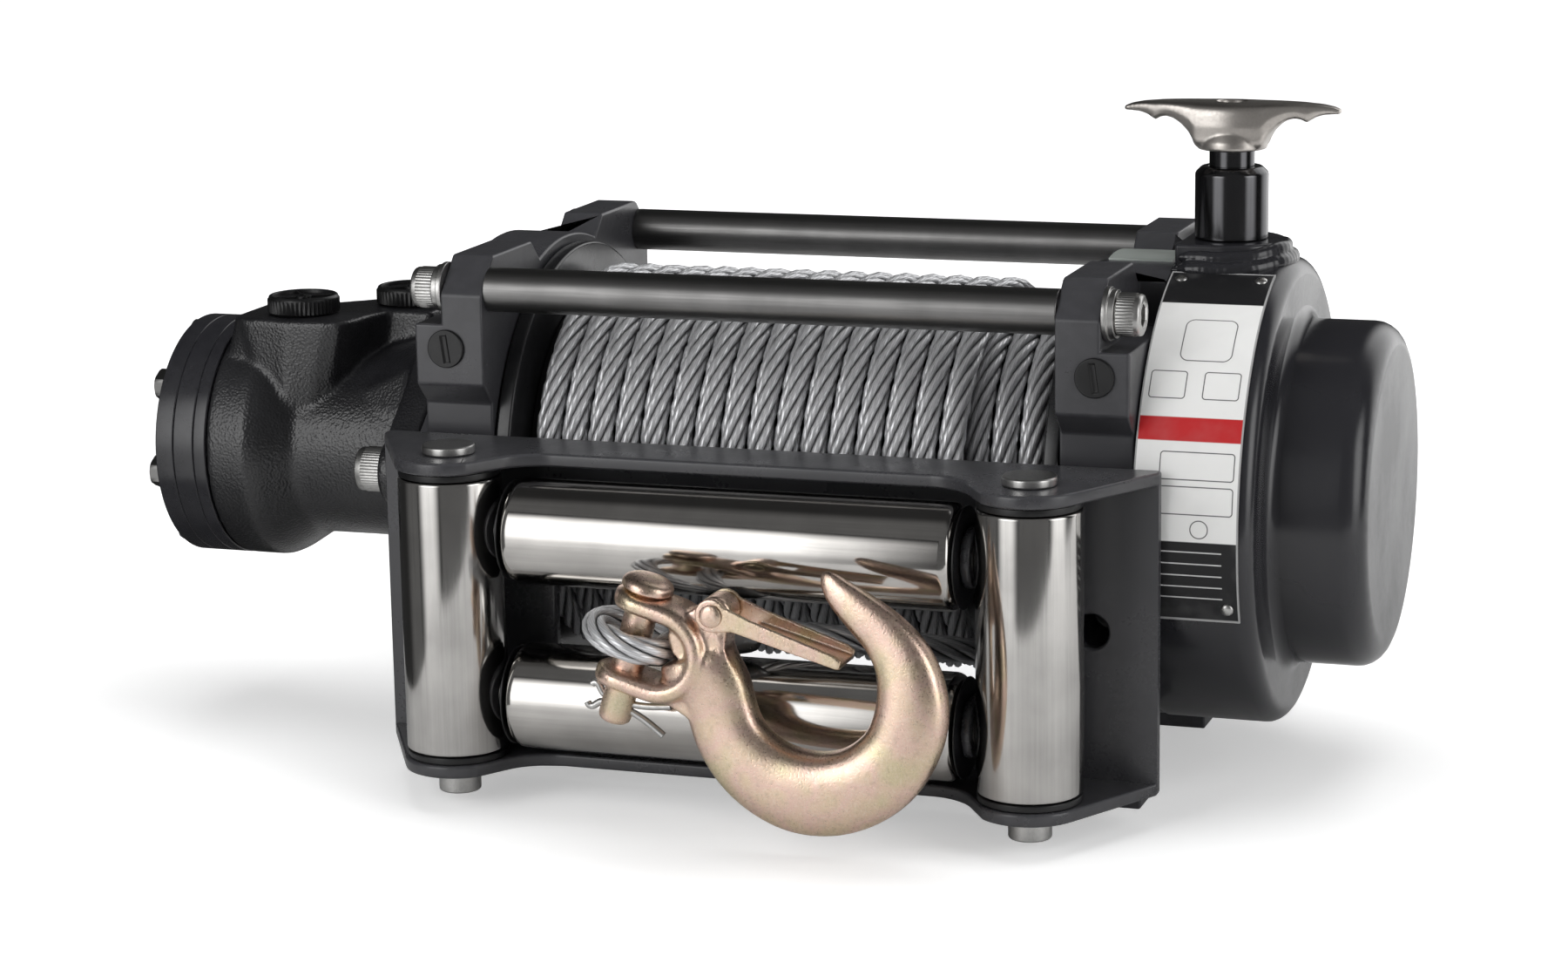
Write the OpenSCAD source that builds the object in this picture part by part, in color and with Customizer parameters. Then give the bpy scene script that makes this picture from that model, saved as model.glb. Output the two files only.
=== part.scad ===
// Hydraulic recovery winch with wire rope, clevis hook and four-roller fairlead.
// X runs along the drum (motor at -X, gearbox at +X), -Y is the rope side, Z is up.
// The origin is the centre of the four foot holes, on the bottom face of the feet.

/* [Mounting] */
// Spacing of the bolt holes along the drum
bolt_span = 254; // [240:1:280]
// Spacing of the two rows of foot holes
bolt_row = 114.3; // [108:0.1:120]
// Height of the drum axis above the feet
axis_h = 110; // [106:1:125]
// Diameter of the M12 holes in the feet and the front faces
mount_bore = 12; // [10:0.5:13]
// Diameter of the fairlead's bolt holes
fairlead_bore = 13; // [11:0.5:14]

/* [Supports] */
// Distance between the inner faces of the two supports
support_gap = 224; // [216:1:240]
// Thickness of a support
support_t = 28; // [26:1:32]
// Radius of the round middle of a support
support_r = 88.5; // [86:0.5:91]
// Distance from the drum axis to the front faces of the heads
face_y = 90; // [88:1:96]
// Height of the top of a head above the drum axis
head_top = 91.5; // [90:0.5:96]
// Height of the lower edge of a head's front face above the axis
head_low = 43; // [38:1:46]
// Size of the sloping edge on a head
head_bevel = 13.5; // [9:0.5:15]
// Thickness of a head beside the rod screws
pocket_t = 17; // [15:0.5:19]

/* [Tie rods] */
// Diameter of a tie rod
rod_d = 17; // [14:0.5:18]
// Distance of a tie rod in front of or behind the drum axis
rod_y = 80; // [78:0.5:81]
// Height of the tie rods above the drum axis
rod_z = 79; // [77:0.5:80]

/* [Drum and rope] */
// Outer diameter of the drum tube
drum_d = 78; // [70:1:84]
// Wall of the drum tube
drum_wall = 8; // [6:0.5:9]
// Radius of the drum flanges
flange_r = 85; // [82:0.5:86]
// Thickness of a drum flange
flange_t = 6; // [4:0.5:8]
// Diameter of the wire rope
rope_d = 10.3; // [9:0.1:10.3]
// Distance between neighbouring turns
rope_pitch = 10.75; // [10.72:0.01:11]
// Number of turns in the outer layer, wound from the motor's side
rope_turns = 16.25; // [10.25:1:16.25]
// Radius of the outer layer's centre line
wind_r = 71.85; // [66:0.5:73]

/* [Motor] */
// Outer diameter of the motor
motor_d = 98.6; // [92:0.5:102]
// Thickness of the end cover
end_cover_t = 8; // [6:0.5:10]
// Thickness of the gerotor ring
gerotor_t = 9; // [7:0.5:20]
// Thickness of the spacer plate
spacer_t = 5.5; // [4:0.5:8]
// Length of the cast housing with its flange
motor_body_l = 97.5; // [92:0.5:110]
// Spacing of the two flange screws
motor_screw_span = 106.4; // [104:0.1:110]
// Height of the port face above the motor axis
port_face = 55; // [53:0.5:60]

/* [Gearbox] */
// Outer radius of the gear housing
housing_r = 89; // [87:0.5:91]
// Length of the wide part of the gear housing
housing_l = 45; // [43:1:50]
// Outer radius of the end cap
cap_r = 65.5; // [64:0.5:68]
// Length of the end cap
cap_l = 36; // [35:1:42]
// Module of the output stage teeth
module_out = 2.5; // [2.4:0.05:2.5]
// Module of the input stage teeth
module_in = 2; // [1.9:0.05:2]

/* [Clutch] */
// Place of the clutch plunger along the drum axis, from the support
clutch_x = 17.7; // [16:0.1:19]
// Diameter of the clutch sleeve
sleeve_d = 27.6; // [26:0.2:30]
// Height of the clutch sleeve
sleeve_h = 27.4; // [25:0.2:32]
// Diameter of the stem under the handle
stem_d = 17; // [15:0.5:17.5]
// Lift of the plunger
clutch_lift = 8; // [6:0.5:9]
// Length of the T handle
handle_l = 82; // [70:1:100]

/* [Fairlead] */
// Height of the fairlead's centre, relative to the drum axis
fair_z = -36; // [-38:0.5:-34]
// Half the distance between the two upright rollers
fair_x = 112; // [110:0.5:114]
// Distance of the upright rollers in front of the supports
fair_reach = 35; // [33:1:40]
// Diameter of the upright rollers
upright_d = 39; // [36:0.5:40]
// Length of the steel of the upright rollers
upright_l = 105; // [103:0.5:107]
// Diameter of the level rollers
level_d = 40; // [38:0.5:41]
// Length of the steel of the level rollers
level_l = 174; // [168:1:174]
// Open height between the level rollers
window_h = 23.5; // [21:0.5:23.5]
// Thickness of the fairlead's plates
plate_t = 5; // [4:0.5:6]
// Half the length of the fairlead frame
frame_half = 152; // [148:1:158]

/* [Hook] */
// Radius of the hook's centre line round the bowl
hook_r = 36; // [33:0.5:38]
// Diameter of the clevis pin
clevis_d = 12; // [10:0.5:12]
// Open width of the clevis
clevis_gap = 21; // [19:0.5:24]
// Thickness of a clevis ear
ear_t = 8.5; // [7:0.5:10]

/* [Hidden] */
$fn = 64;

// General clearances
cut = 1;
seat = 0.3;
running = 0.05;
press = 0.02;

// Supports: x places of the faces, and sizes of the legs
inner_x = support_gap / 2;
outer_x = inner_x + support_t;
pocket_x = inner_x + pocket_t;
leg_y = face_y - 8;
head_in = 29;
head_back = 38;
pocket_z = 66.5;
pad_top = -20;
pad_low = -82;
foot_y = 70;
foot_in = 42;
mount_x = bolt_span / 2;
mount_depth = 25;
plug_z = bolt_row / 2;
plug_head_r = 7.4;
plug_head_h = 1.4;
plug_slot_w = 2.2;
plug_slot_turn = 20;
bush_r = drum_d / 2 + 5;
bush_l = 18;
journal_r = drum_d / 2 - 1;
recess_r = 64;
recess_t = 8.5;

// Rod screws, M10 with a flat and a spring washer
m10_r = 5;
m10_head_r = 8;
m10_head_h = 9.5;
m10_key_r = 4.6;
m10_key_depth = 5;
m10_in = 20;
flat_washer_t = 2;
flat_washer_r = 10;
spring_washer_t = 2.3;
spring_washer_r = 9;

// Drum and rope
flange_in = inner_x - 0.7 - flange_t;
drum_bore = drum_d / 2 - drum_wall;
rope_r = rope_d / 2;
wind_sides = 6;
wind_rings = 24;
chord_share = cos(180 / wind_rings);
core_r = wind_r * chord_share - rope_r - seat;
low_turns = 3;
low_wind_r = wind_r - rope_d - 6 * seat;
low_core_r = low_wind_r * chord_share - rope_r - seat;
tail_angle = 252.5;
low_tail_angle = 330;
tail_l = rope_d;
wind_side_x = flange_in - rope_r - seat;
core_step_x = wind_side_x - low_turns * rope_pitch - rope_r - seat;

// Motor: x places from the support outwards
adapter_t = 16;
adapter_x = -outer_x - adapter_t;
motor_flange_t = 14;
motor_flange_x = adapter_x - motor_flange_t;
housing_from = adapter_x - motor_body_l;
spacer_x = housing_from - spacer_t;
gerotor_x = spacer_x - gerotor_t;
motor_left_x = gerotor_x - end_cover_t;
motor_neck_r = 39;
motor_barrel_l = 17;
motor_taper_l = 17;
motor_screw_y = motor_screw_span / 2;
flange_lobe_r = 13.5;
flange_rim = 6;
flange_lean = 5;
m12_r = 6;
m12_head_r = 9;
m12_head_h = 12;
m12_key_r = 5.8;
m12_key_depth = 6;
m12_in = 13;
pilot_r = 41.2;
pilot_l = 6;
end_bolt_count = 7;
end_bolt_ring = 40.5;
end_bolt_head_r = 6.9;
end_bolt_head_h = 5.5;
end_bolt_r = 4;
end_bolt_in = 12;
motor_shaft_r = 12.5;
motor_shaft_l = 62;
motor_shaft_end = adapter_x + pilot_l + 21;
motor_cavity_r = 24;
seal_t = 5;
seal_r = 18;
star_lobes = 6;
star_r = 24;
star_wave = 3.2;
link_r = 7;
link_in = 24;
port_front = [-223, -15];
port_rear = [-189, 17];
port_r = 11;
port_depth = 14;
port_cap_r = 14.7;
port_cap_h = 7.5;
port_key_r = 7;
port_key_depth = 3;
port_screw_r = 2.6;
port_screws = [[-243, -21], [-203, -23], [-205, 5]];
port_boss_r = 19;
port_edge = 4;

// Gearbox
housing_x = outer_x;
neck_x = housing_x + housing_l;
cap_x = neck_x + cap_l;
housing_wall = 9;
housing_spigot_l = 4;
cap_wall = 7;
end_wall = 8;
shoulder_t = 7;
housing_fillet = 7;
cap_fillet = 10;
neck_fillet = 5;
cavity_r = housing_r - housing_wall;
cap_cavity_r = cap_r - cap_wall;
screw_ring_r = cavity_r + 3.6;
screw_angles = [75, 90, 105, 235, 255, 270, 285, 305];
m5_r = 2.5;
m5_head_r = 4.2;
m5_head_h = 5;
m5_in = 9;
out_teeth_ring = 54;
out_teeth_planet = 18;
out_teeth_sun = 18;
in_teeth_ring = 51;
in_teeth_planet = 18;
in_teeth_sun = 15;
out_gear_x = housing_x + 6;
out_gear_w = 24;
in_gear_x = neck_x - 1;
in_gear_w = 22;
out_orbit_r = module_out * (out_teeth_sun + out_teeth_planet) / 2;
in_orbit_r = module_in * (in_teeth_sun + in_teeth_planet) / 2;
out_pin_r = 6;
in_pin_r = 5;
backlash = 0.35;
tooth_up_share = 0.8;
tooth_down_share = 1.1;
pressure_angle = 20;
drive_shaft_r = 9;
drive_shaft_from = motor_shaft_end + 2 * seat;
drive_shaft_to = cap_x - end_wall - seat;
coupling_r = 19;
coupling_l = 46;
carrier_out_r = 62;
carrier_out_t = 8;
carrier_in_r = 48;
carrier_in_t = 7;
carrier_out_face = outer_x - recess_t / 2 + 2 * seat + carrier_out_t;
in_carrier_x = in_gear_x - seat - carrier_in_t;
notch_count = 12;
notch_spare = 1.5;
notch_depth = clutch_lift - notch_spare;

// Clutch
clutch_at = housing_x + clutch_x;
boss_w = 42;
boss_top = housing_r + 7;
boss_left = housing_x + 0.5;
boss_low = cavity_r - 4;
plunger_r = 7;
collar_r = 9.6;
collar_t = 3;
sleeve_bore = 10;
sleeve_top = boss_top + sleeve_h;
sleeve_lid = 4.5;
sleeve_chamfer = 2.5;
notch_floor = cavity_r - 0.5 - notch_depth;
handle_low = sleeve_top + 6.4;
neck_r = 13.2;
neck_h = 3.5;
handle_top = handle_low + 18;
waist_z = handle_low + 8.5;
waist_r = 10.5;
handle_half_w = 12;
tip_half_w = 2.5;
tip_t = 3.5;
tip_drop = 2;
spigot_r = 6;
spigot_h = 8;
m6_r = 3;
m6_head_r = 5;
m6_head_h = 5;
m6_key_r = 2.9;
m6_sink = 1.2;
m6_in = 9;

// Fairlead
upright_y = -face_y - fair_reach;
level_y = upright_y + 3;
level_dz = (window_h + level_d) / 2;
collar_h = 3;
frame_half_h = upright_l / 2 + collar_h + plate_t;
lobe_r = 20.5;
mid_edge_y = upright_y + 7;
roller_bore = 14;
upright_pin_r = 8;
upright_head_r = 10;
upright_head_h = 3.5;
upright_end = 9.5;
level_pin_r = 6;
bush_in_l = 20;
tab_t = 3.8;
tab_x = level_l / 2 + 1;
tab_r = 11;
window_x = level_l / 2 - 4;
window_half_h = 34;

// Hook, in its own plane: u runs from the clevis pin to the bowl, v along the pin
hook_y = -165;
hook_x = -24;
hook_z = -31;
hook_tilt = 16;
bowl_u = 70;
bowl_v = 3;
bowl_angles = [222, 240, 258, 276, 294, 312, 330, 348, 6, 24, 40];
bowl_half_shares = [0.36, 0.38, 0.4, 0.42, 0.42, 0.41, 0.4, 0.38, 0.37, 0.34, 0.3];
shank_shares = [[-1.22, -0.12], [-1.02, -0.26], [-0.9, -0.44]];
shank_half_shares = [0.42, 0.37, 0.35];
tip_shares = [[0.52, 0.84], [0.22, 0.98], [-0.05, 1.1], [-0.26, 1.24]];
tip_half_shares = [0.25, 0.21, 0.15, 0.06];
hook_flat_share = 0.72;
hook_points = concat([for (s = shank_shares) [bowl_u + s[0] * hook_r, 0, bowl_v + s[1] * hook_r]],
    [for (a = bowl_angles) [bowl_u + hook_r * cos(a), 0, bowl_v + hook_r * sin(a)]],
    [for (s = tip_shares) [bowl_u + s[0] * hook_r, 0, bowl_v + s[1] * hook_r]]);
hook_halves = hook_r * concat(shank_half_shares, bowl_half_shares, tip_half_shares);
hook_sides = 12;
ear_r = 11;
yoke_u = 11.5;
pin_head_r = 9.5;
pin_head_h = 5;
pin_end = 13;
cotter_r = 1.4;
cotter_shares = [[-8, 1.7], [-7, 2.2], [-5.8, 1.3], [-4.7, 0], [4.7, 0], [7, 0.5], [11, 1.8], [14, 3]];
cotter_gap_share = 1.02;
cotter_wire_share = 0.96;
cotter_sides = 8;
latch_u = 27.7;
latch_v = 21;
latch_boss_r = 6.2;
latch_l = 50;
latch_t = 1.6;
latch_half = 7.5;
latch_web = 14;
latch_rivet_r = 2.6;
latch_lug_t = 12;
spring_wire = 1;

// Rope from the drum to the eye: round points, relative to the drum axis
lead_points = [
    [74.8, -31.8, -65.3], [74.8, -40, -62.7], [74.8, -50, -59.5], [74.3, -58, -57],
    [72, -65, -54.8], [67, -71.5, -52.8], [60, -78, -50.7], [51, -85.5, -48.3],
    [42, -93, -46], [33, -100.5, -43.6], [24, -107, -41.4], [15.5, -113, -39.2],
    [9, -118.5, -37.4], [5, -122.3, -37], [0, -127.3, -37], [-5, -132.3, -37],
    [-8.6, -136.6, -36.7], [-11, -141.5, -36], [-12.4, -147, -35.2], [-12.9, -153, -34.6],
    [-12.9, -159, -34.3], [-12.9, -165, -34.2], [-14.4, -170.8, -33.8], [-18.5, -175, -32.6],
    [-24, -176.6, -31], [-29.5, -175.4, -29.4], [-34.5, -172.2, -28], [-38, -167.3, -27],
    [-39.2, -161.5, -26.7], [-38, -155.5, -27.2], [-34.8, -149.5, -28.4], [-30.2, -143.5, -30.4],
    [-25, -137.5, -32.8], [-20.2, -132.2, -35.2], [-16, -127.9, -36.6], [-12.5, -124.4, -37],
    [-7.7, -119.6, -37], [-2.7, -114.6, -37], [2.6, -109.3, -37]];
lead_sides = 10;
ferrule_place = [-3.85, -123.45, -37];
ferrule_turn = -45;
ferrule_l = 18;
ferrule_wall = 3.4;

// Label plate, bent round the front of the gear housing
label_x = housing_x + 0.8;
label_w = 39;
label_t = 0.8;
label_from = -21;
label_to = 74;
rivet_r = 2.4;
rivet_h = 1.2;
rivet_edge = 4.5;
rivet_turn = 3.5;
name_w = 24;
name_edge = 1.2;

// Places a shape drawn in the Y, Z plane so that it is extruded along X, on the drum axis
module on_axis(x = 0) translate([x, 0, axis_h]) rotate([90, 0, 90]) children();

// Lifts a shape that is placed relative to the drum axis
module from_axis(x = 0, y = 0, z = 0) translate([x, y, axis_h + z]) children();

// A cylinder along -Y, starting at its back end
module along_front(x, y, z, r, l) from_axis(x, y, z) rotate([90, 0, 0]) cylinder(r = r, h = l);

// A disc or tube along X
module ring_x(x, r, l, bore = 0) on_axis(x) difference() {
    cylinder(r = r, h = l);
    if (bore > 0) translate([0, 0, -cut]) cylinder(r = bore, h = l + 2 * cut);
}

// Circle of points for a swept section
function section(p, side, up, rx, ry, sides) = [for (i = [0 : sides - 1])
    p + side * rx * cos(360 * i / sides) + up * ry * sin(360 * i / sides)];

function unit(v) = v / norm(v);

function heading(pts, i) = unit(pts[min(i + 1, len(pts) - 1)] - pts[max(i - 1, 0)]);

// Joins rings of points into one closed tube
module skin(rings, sides) {
    n = len(rings);
    points = [for (ring = rings) each ring];
    walls = [for (k = [0 : n - 2]) for (i = [0 : sides - 1])
        let (a = k * sides + i, b = k * sides + (i + 1) % sides, c = b + sides, d = a + sides)
        each [[a, b, c], [a, c, d]]];
    start = [[for (i = [sides - 1 : -1 : 0]) i]];
    end = [[for (i = [0 : sides - 1]) (n - 1) * sides + i]];
    polyhedron(points = points, faces = concat(walls, start, end), convexity = 10);
}

// A round tube along a list of points, its section kept upright
module tube_along(pts, r, sides) {
    rings = [for (i = [0 : len(pts) - 1])
        let (d = heading(pts, i), s = unit(cross(d, [0, 0, 1])), u = cross(s, d))
        section(pts[i], s, u, r, r, sides)];
    skin(rings, sides);
}

// Outline of a spur gear: straight flanks from root to tip, thinned by the backlash
module gear_outline(teeth, size, up, down, thin, phase) {
    pitch = teeth * size / 2;
    half = 90 / teeth - thin * 90 / (PI * pitch);
    tip = pitch + up;
    root = pitch - down;
    flank_up = up * tan(pressure_angle) / pitch * 180 / PI;
    flank_down = down * tan(pressure_angle) / pitch * 180 / PI;
    polygon([for (k = [0 : teeth - 1]) for (c = [[root, -half - flank_down], [tip, -half + flank_up],
        [tip, half - flank_up], [root, half + flank_down]])
        c[0] * [cos(phase + 360 * k / teeth + c[1]), sin(phase + 360 * k / teeth + c[1])]]);
}

module spur(teeth, size, phase) gear_outline(teeth, size, tooth_up_share * size, tooth_down_share * size,
    backlash, phase);

// Space between the teeth of a ring gear, drawn as a gear with deeper, thicker teeth
module ring_space(teeth, size, phase) gear_outline(teeth, size, tooth_down_share * size,
    tooth_up_share * size,
    -backlash, phase);

// Turn of a planet at angle at, in mesh with a sun whose tooth lies at angle zero
function planet_phase(at, sun, planet) = at + 180 - 360 / planet * (0.5 - at * sun / 360);

// Turn of the ring gear's spaces, in mesh with the same planets
function ring_phase(planet, ring) = 180 * (planet - 1) / ring;

// Profile of one support, seen along the drum axis
module support_outline() {
    step = face_y - leg_y;
    intersection() {
        circle(r = support_r, $fn = 128);
        square([2 * (leg_y - cut), 2 * support_r], center = true);
    }
    for (side = [0, 1]) mirror([side, 0]) polygon([
        [head_in, 0], [head_in, head_top - head_back + head_in], [head_back, head_top],
        [face_y - head_bevel, head_top], [face_y, head_top - head_bevel], [face_y, head_low],
        [leg_y, head_low - step], [leg_y, pad_top + step], [face_y, pad_top], [face_y, pad_low],
        [foot_y, pad_low - face_y + foot_y], [foot_y, -axis_h], [foot_in, -axis_h], [foot_in, 0]]);
}

// One support at +X; the motor side is its mirror image
module support_body() {
    difference() {
        on_axis(inner_x) linear_extrude(support_t) support_outline();
        for (side = [0, 1]) mirror([0, side, 0]) {
            on_axis(pocket_x) translate([head_in + cut, pocket_z, 0]) cube([face_y, head_top, support_t]);
            from_axis(inner_x - cut, rod_y, rod_z) rotate([0, 90, 0])
                cylinder(r = m10_r + 5 * running, h = support_t + 2 * cut);
            translate([mount_x, bolt_row / 2, -cut]) cylinder(d = mount_bore, h = mount_depth + cut);
        }
        along_front(mount_x, -face_y + mount_depth, plug_z, mount_bore / 2, mount_depth + cut);
        along_front(mount_x, -face_y + mount_depth, fair_z, fairlead_bore / 2, mount_depth + cut);
    }
}

module motor_support() color("#2e3034") difference() {
    union() {
        mirror([1, 0, 0]) support_body();
        on_axis(adapter_x) linear_extrude(adapter_t + cut) motor_flange_outline();
    }
    ring_x(-inner_x - bush_l, bush_r, bush_l + cut);
    ring_x(adapter_x - cut, pilot_r + running, pilot_l + cut + seat);
    ring_x(adapter_x - cut, drum_bore, support_t + adapter_t + 2 * cut);
    for (side = [-1, 1]) on_axis(adapter_x - cut) translate([side * motor_screw_y, 0, 0])
        cylinder(r = m12_r + press, h = m12_in + cut);
}

module gear_support() color("#2e3034") difference() {
    union() {
        support_body();
        on_axis(outer_x - cut) cylinder(r = cavity_r - running, h = cut + housing_spigot_l);
    }
    ring_x(inner_x - cut, bush_r, bush_l + cut);
    ring_x(inner_x - cut, journal_r + cut, support_t + 2 * cut);
    ring_x(outer_x - recess_t, recess_r, recess_t + housing_spigot_l + cut);
    for (a = screw_angles) on_axis(inner_x - cut) rotate(a) translate([screw_ring_r, 0, 0]) {
        cylinder(r = m5_r + running, h = support_t + 2 * cut);
        cylinder(r = m5_head_r + seat, h = m5_head_h + cut + seat);
    }
}

module mount_plugs() color("#101112") for (side = [-1, 1]) difference() {
    union() {
        along_front(side * mount_x, -face_y + mount_depth / 2, plug_z, mount_bore / 2 - running,
            mount_depth / 2);
        along_front(side * mount_x, -face_y, plug_z, plug_head_r, plug_head_h);
    }
    from_axis(side * mount_x, -face_y - plug_head_h, plug_z) rotate([0, plug_slot_turn, 0])
        cube([2 * plug_head_r - 3 * plug_head_h, plug_head_h, plug_slot_w], center = true);
}

module tie_rods() color("#26282b") for (side = [-1, 1]) difference() {
    from_axis(-inner_x, side * rod_y, rod_z) rotate([0, 90, 0]) cylinder(d = rod_d, h = support_gap);
    for (end = [-1, 1]) from_axis(end * inner_x, side * rod_y, rod_z) rotate([0, 90, 0])
        cylinder(r = m10_r, h = 2 * (m10_in + cut), center = true);
}

// A socket head screw along +Z: its shank points down, its head stands on zero
module socket_screw(r, shank, head_r, head_h, key_r, key_depth) difference() {
    union() {
        translate([0, 0, -shank]) cylinder(r = r, h = shank);
        cylinder(r = head_r, h = head_h);
    }
    translate([0, 0, head_h - key_depth]) cylinder(r = key_r, h = key_depth + cut, $fn = 6);
}

// Points +Z of a shape outwards along X at a rod's end
module rod_end(end, side) from_axis(end * pocket_x, side * rod_y, rod_z)
    rotate([0, 90 * end, 0]) children();

module tie_rod_screws() color("#c9ccd0") for (end = [-1, 1]) for (side = [-1, 1])
    rod_end(end, side) translate([0, 0, flat_washer_t + spring_washer_t])
        socket_screw(m10_r - running, flat_washer_t + spring_washer_t + pocket_t + m10_in, m10_head_r,
            m10_head_h, m10_key_r, m10_key_depth);

module tie_rod_washers() color("#b8bbbf") for (end = [-1, 1]) for (side = [-1, 1]) rod_end(end, side) {
    difference() {
        cylinder(r = flat_washer_r, h = flat_washer_t);
        translate([0, 0, -cut]) cylinder(r = m10_r + 3 * running, h = flat_washer_t + 2 * cut);
    }
    translate([0, 0, flat_washer_t]) difference() {
        cylinder(r = spring_washer_r, h = spring_washer_t);
        translate([0, 0, -cut]) cylinder(r = m10_r + 3 * running, h = spring_washer_t + 2 * cut);
    }
}

module drum_bushes() color("#9a7b45") for (side = [0, 1]) mirror([side, 0, 0])
    ring_x(inner_x, bush_r - press, bush_l - seat, journal_r + running);

module drum() color("#232427") difference() {
    union() {
        ring_x(-inner_x - bush_l + seat, journal_r, support_gap + 2 * (bush_l - seat));
        ring_x(-flange_in, drum_d / 2, 2 * flange_in);
        for (x = [-flange_in - flange_t, flange_in]) ring_x(x, flange_r, flange_t);
    }
    ring_x(-inner_x - bush_l - cut, drum_bore, support_gap + 2 * bush_l + 2 * cut);
}

// Inner layers, with a step down to the layer that shows beside the gearbox's flange
module rope_core() color("#6f7276") {
    ring_x(-flange_in + seat, core_r, core_step_x + flange_in - seat, drum_d / 2 + 2 * running);
    ring_x(core_step_x - seat, low_core_r, flange_in - core_step_x, drum_d / 2 + 2 * running);
}

// Centre line of a layer from a flange inwards: a helix whose two ends run straight along the tangent
function wind_angle(k, steps, tail) = tail + 360 * (steps - k) / wind_rings;
function wind_point(k, steps, tail, r, from, hand) = [from + hand * rope_pitch * k / wind_rings,
    r * cos(wind_angle(k, steps, tail)), r * sin(wind_angle(k, steps, tail))];
function wind_dir(k, steps, tail) = [0, sin(wind_angle(k, steps, tail)), -cos(wind_angle(k, steps, tail))];
function wind_path(turns, tail, r, from, hand) = let (steps = round(turns * wind_rings))
    concat([wind_point(0, steps, tail, r, from, hand) - tail_l * wind_dir(0, steps, tail)],
    [for (k = [0 : steps]) wind_point(k, steps, tail, r, from, hand)],
    [wind_point(steps, steps, tail, r, from, hand) + tail_l * wind_dir(steps, steps, tail)]);
function turn_gap(path) = min([for (i = [0 : wind_rings])
    for (j = [i + wind_rings / 2 : i + 3 * wind_rings / 2]) norm(path[i] - path[j])]) - rope_d;

module wound_tube(path) {
    rings = [for (i = [0 : len(path) - 1])
        let (d = heading(path, i), s = unit(cross(d, [1, 0, 0])), u = cross(s, d))
        section(path[i], s, u, rope_r, rope_r, wind_sides)];
    from_axis() skin(rings, wind_sides);
}

module rope_winding() color("#a9adb2") {
    outer = wind_path(rope_turns, tail_angle, wind_r, -wind_side_x, 1);
    lower = wind_path(low_turns, low_tail_angle, low_wind_r, wind_side_x, -1);
    echo(least_gap_of_outer_turns = turn_gap(outer), least_gap_of_lower_turns = turn_gap(lower));
    echo(least_gap_between_layers = min([for (p = outer) for (q = lower) norm(p - q)]) - rope_d);
    wound_tube(outer);
    wound_tube(lower);
}

module rope_lead() color("#a9adb2") from_axis() tube_along(lead_points, rope_r, lead_sides);

// Pressed sleeve round the two legs of the eye
module rope_ferrule() color("#5f6266") from_axis() translate(ferrule_place) rotate([90, 0, ferrule_turn])
    difference() {
        hull() for (side = [-1, 1]) translate([side * (rope_r + seat), 0, 0])
            cylinder(r = rope_r + ferrule_wall, h = ferrule_l, center = true, $fn = 32);
        for (side = [-1, 1]) translate([side * (rope_r + seat), 0, 0])
            cylinder(r = rope_r + seat, h = ferrule_l + 2 * cut, center = true);
        cube([2 * rope_r, rope_r, ferrule_l + 2 * cut], center = true);
    }

// Rhombic two-bolt outline shared by the motor flange and its seat on the support
module motor_flange_outline() {
    flat_r = pilot_r + flange_rim;
    circle(r = flat_r);
    for (side = [-1, 1]) translate([side * motor_screw_y, 0]) circle(r = flange_lobe_r);
    tilt = acos((flat_r - flange_lobe_r) / motor_screw_y);
    near = tilt + flange_lean;
    far = tilt - flange_lean;
    polygon([for (c = [[1, flange_lobe_r, near], [0, flat_r, far],
        [0, flat_r, 180 - far], [-1, flange_lobe_r, 180 - near],
        [-1, flange_lobe_r, 180 + near], [0, flat_r, 180 + far],
        [0, flat_r, -far], [1, flange_lobe_r, -near]])
        [c[0] * motor_screw_y + (c[1] - seat) * cos(c[2]), (c[1] - seat) * sin(c[2])]]);
}

module motor_end_cover() color("#25262a") difference() {
    ring_x(motor_left_x, motor_d / 2, end_cover_t);
    end_bolt_holes(motor_left_x - cut, end_cover_t + 2 * cut);
}

module end_bolt_holes(x, l) for (k = [0 : end_bolt_count - 1]) on_axis(x)
    rotate(90 + 360 * k / end_bolt_count) translate([end_bolt_ring, 0, 0])
    cylinder(r = end_bolt_r + running, h = l);

module motor_end_bolts() color("#1d1e20") for (k = [0 : end_bolt_count - 1]) {
    l = end_cover_t + gerotor_t + spacer_t + end_bolt_in;
    on_axis(motor_left_x) rotate(90 + 360 * k / end_bolt_count) translate([end_bolt_ring, 0, 0]) {
        cylinder(r = end_bolt_r, h = l);
        translate([0, 0, -end_bolt_head_h]) cylinder(r = end_bolt_head_r, h = end_bolt_head_h, $fn = 6);
    }
}

// Rounded lobes of the gerotor: a circle with a wave on it
function lobe_points(r, wave, lobes, turn) = [for (a = [0 : 5 : 355])
    (r + wave * cos(lobes * (a - turn))) * [cos(a), sin(a)]];

module gerotor_ring() color("#8b8e93") difference() {
    ring_x(gerotor_x, motor_d / 2, gerotor_t);
    on_axis(gerotor_x - cut) linear_extrude(gerotor_t + 2 * cut)
        polygon(lobe_points(star_r + star_wave + 1, star_wave, star_lobes + 1, 180));
    end_bolt_holes(gerotor_x - cut, gerotor_t + 2 * cut);
}

module gerotor_star() color("#9da0a5") on_axis(gerotor_x + seat) translate([-star_wave, 0, 0])
    difference() {
    linear_extrude(gerotor_t - 2 * seat)
        polygon(lobe_points(star_r + seat, star_wave - seat, star_lobes, 180));
    translate([0, 0, -cut]) cylinder(r = link_r + seat + star_wave, h = gerotor_t + 2 * cut);
}

module spacer_plate() color("#303236") difference() {
    ring_x(spacer_x, motor_d / 2, spacer_t, motor_cavity_r - star_wave);
    end_bolt_holes(spacer_x - cut, spacer_t + 2 * cut);
}

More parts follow.
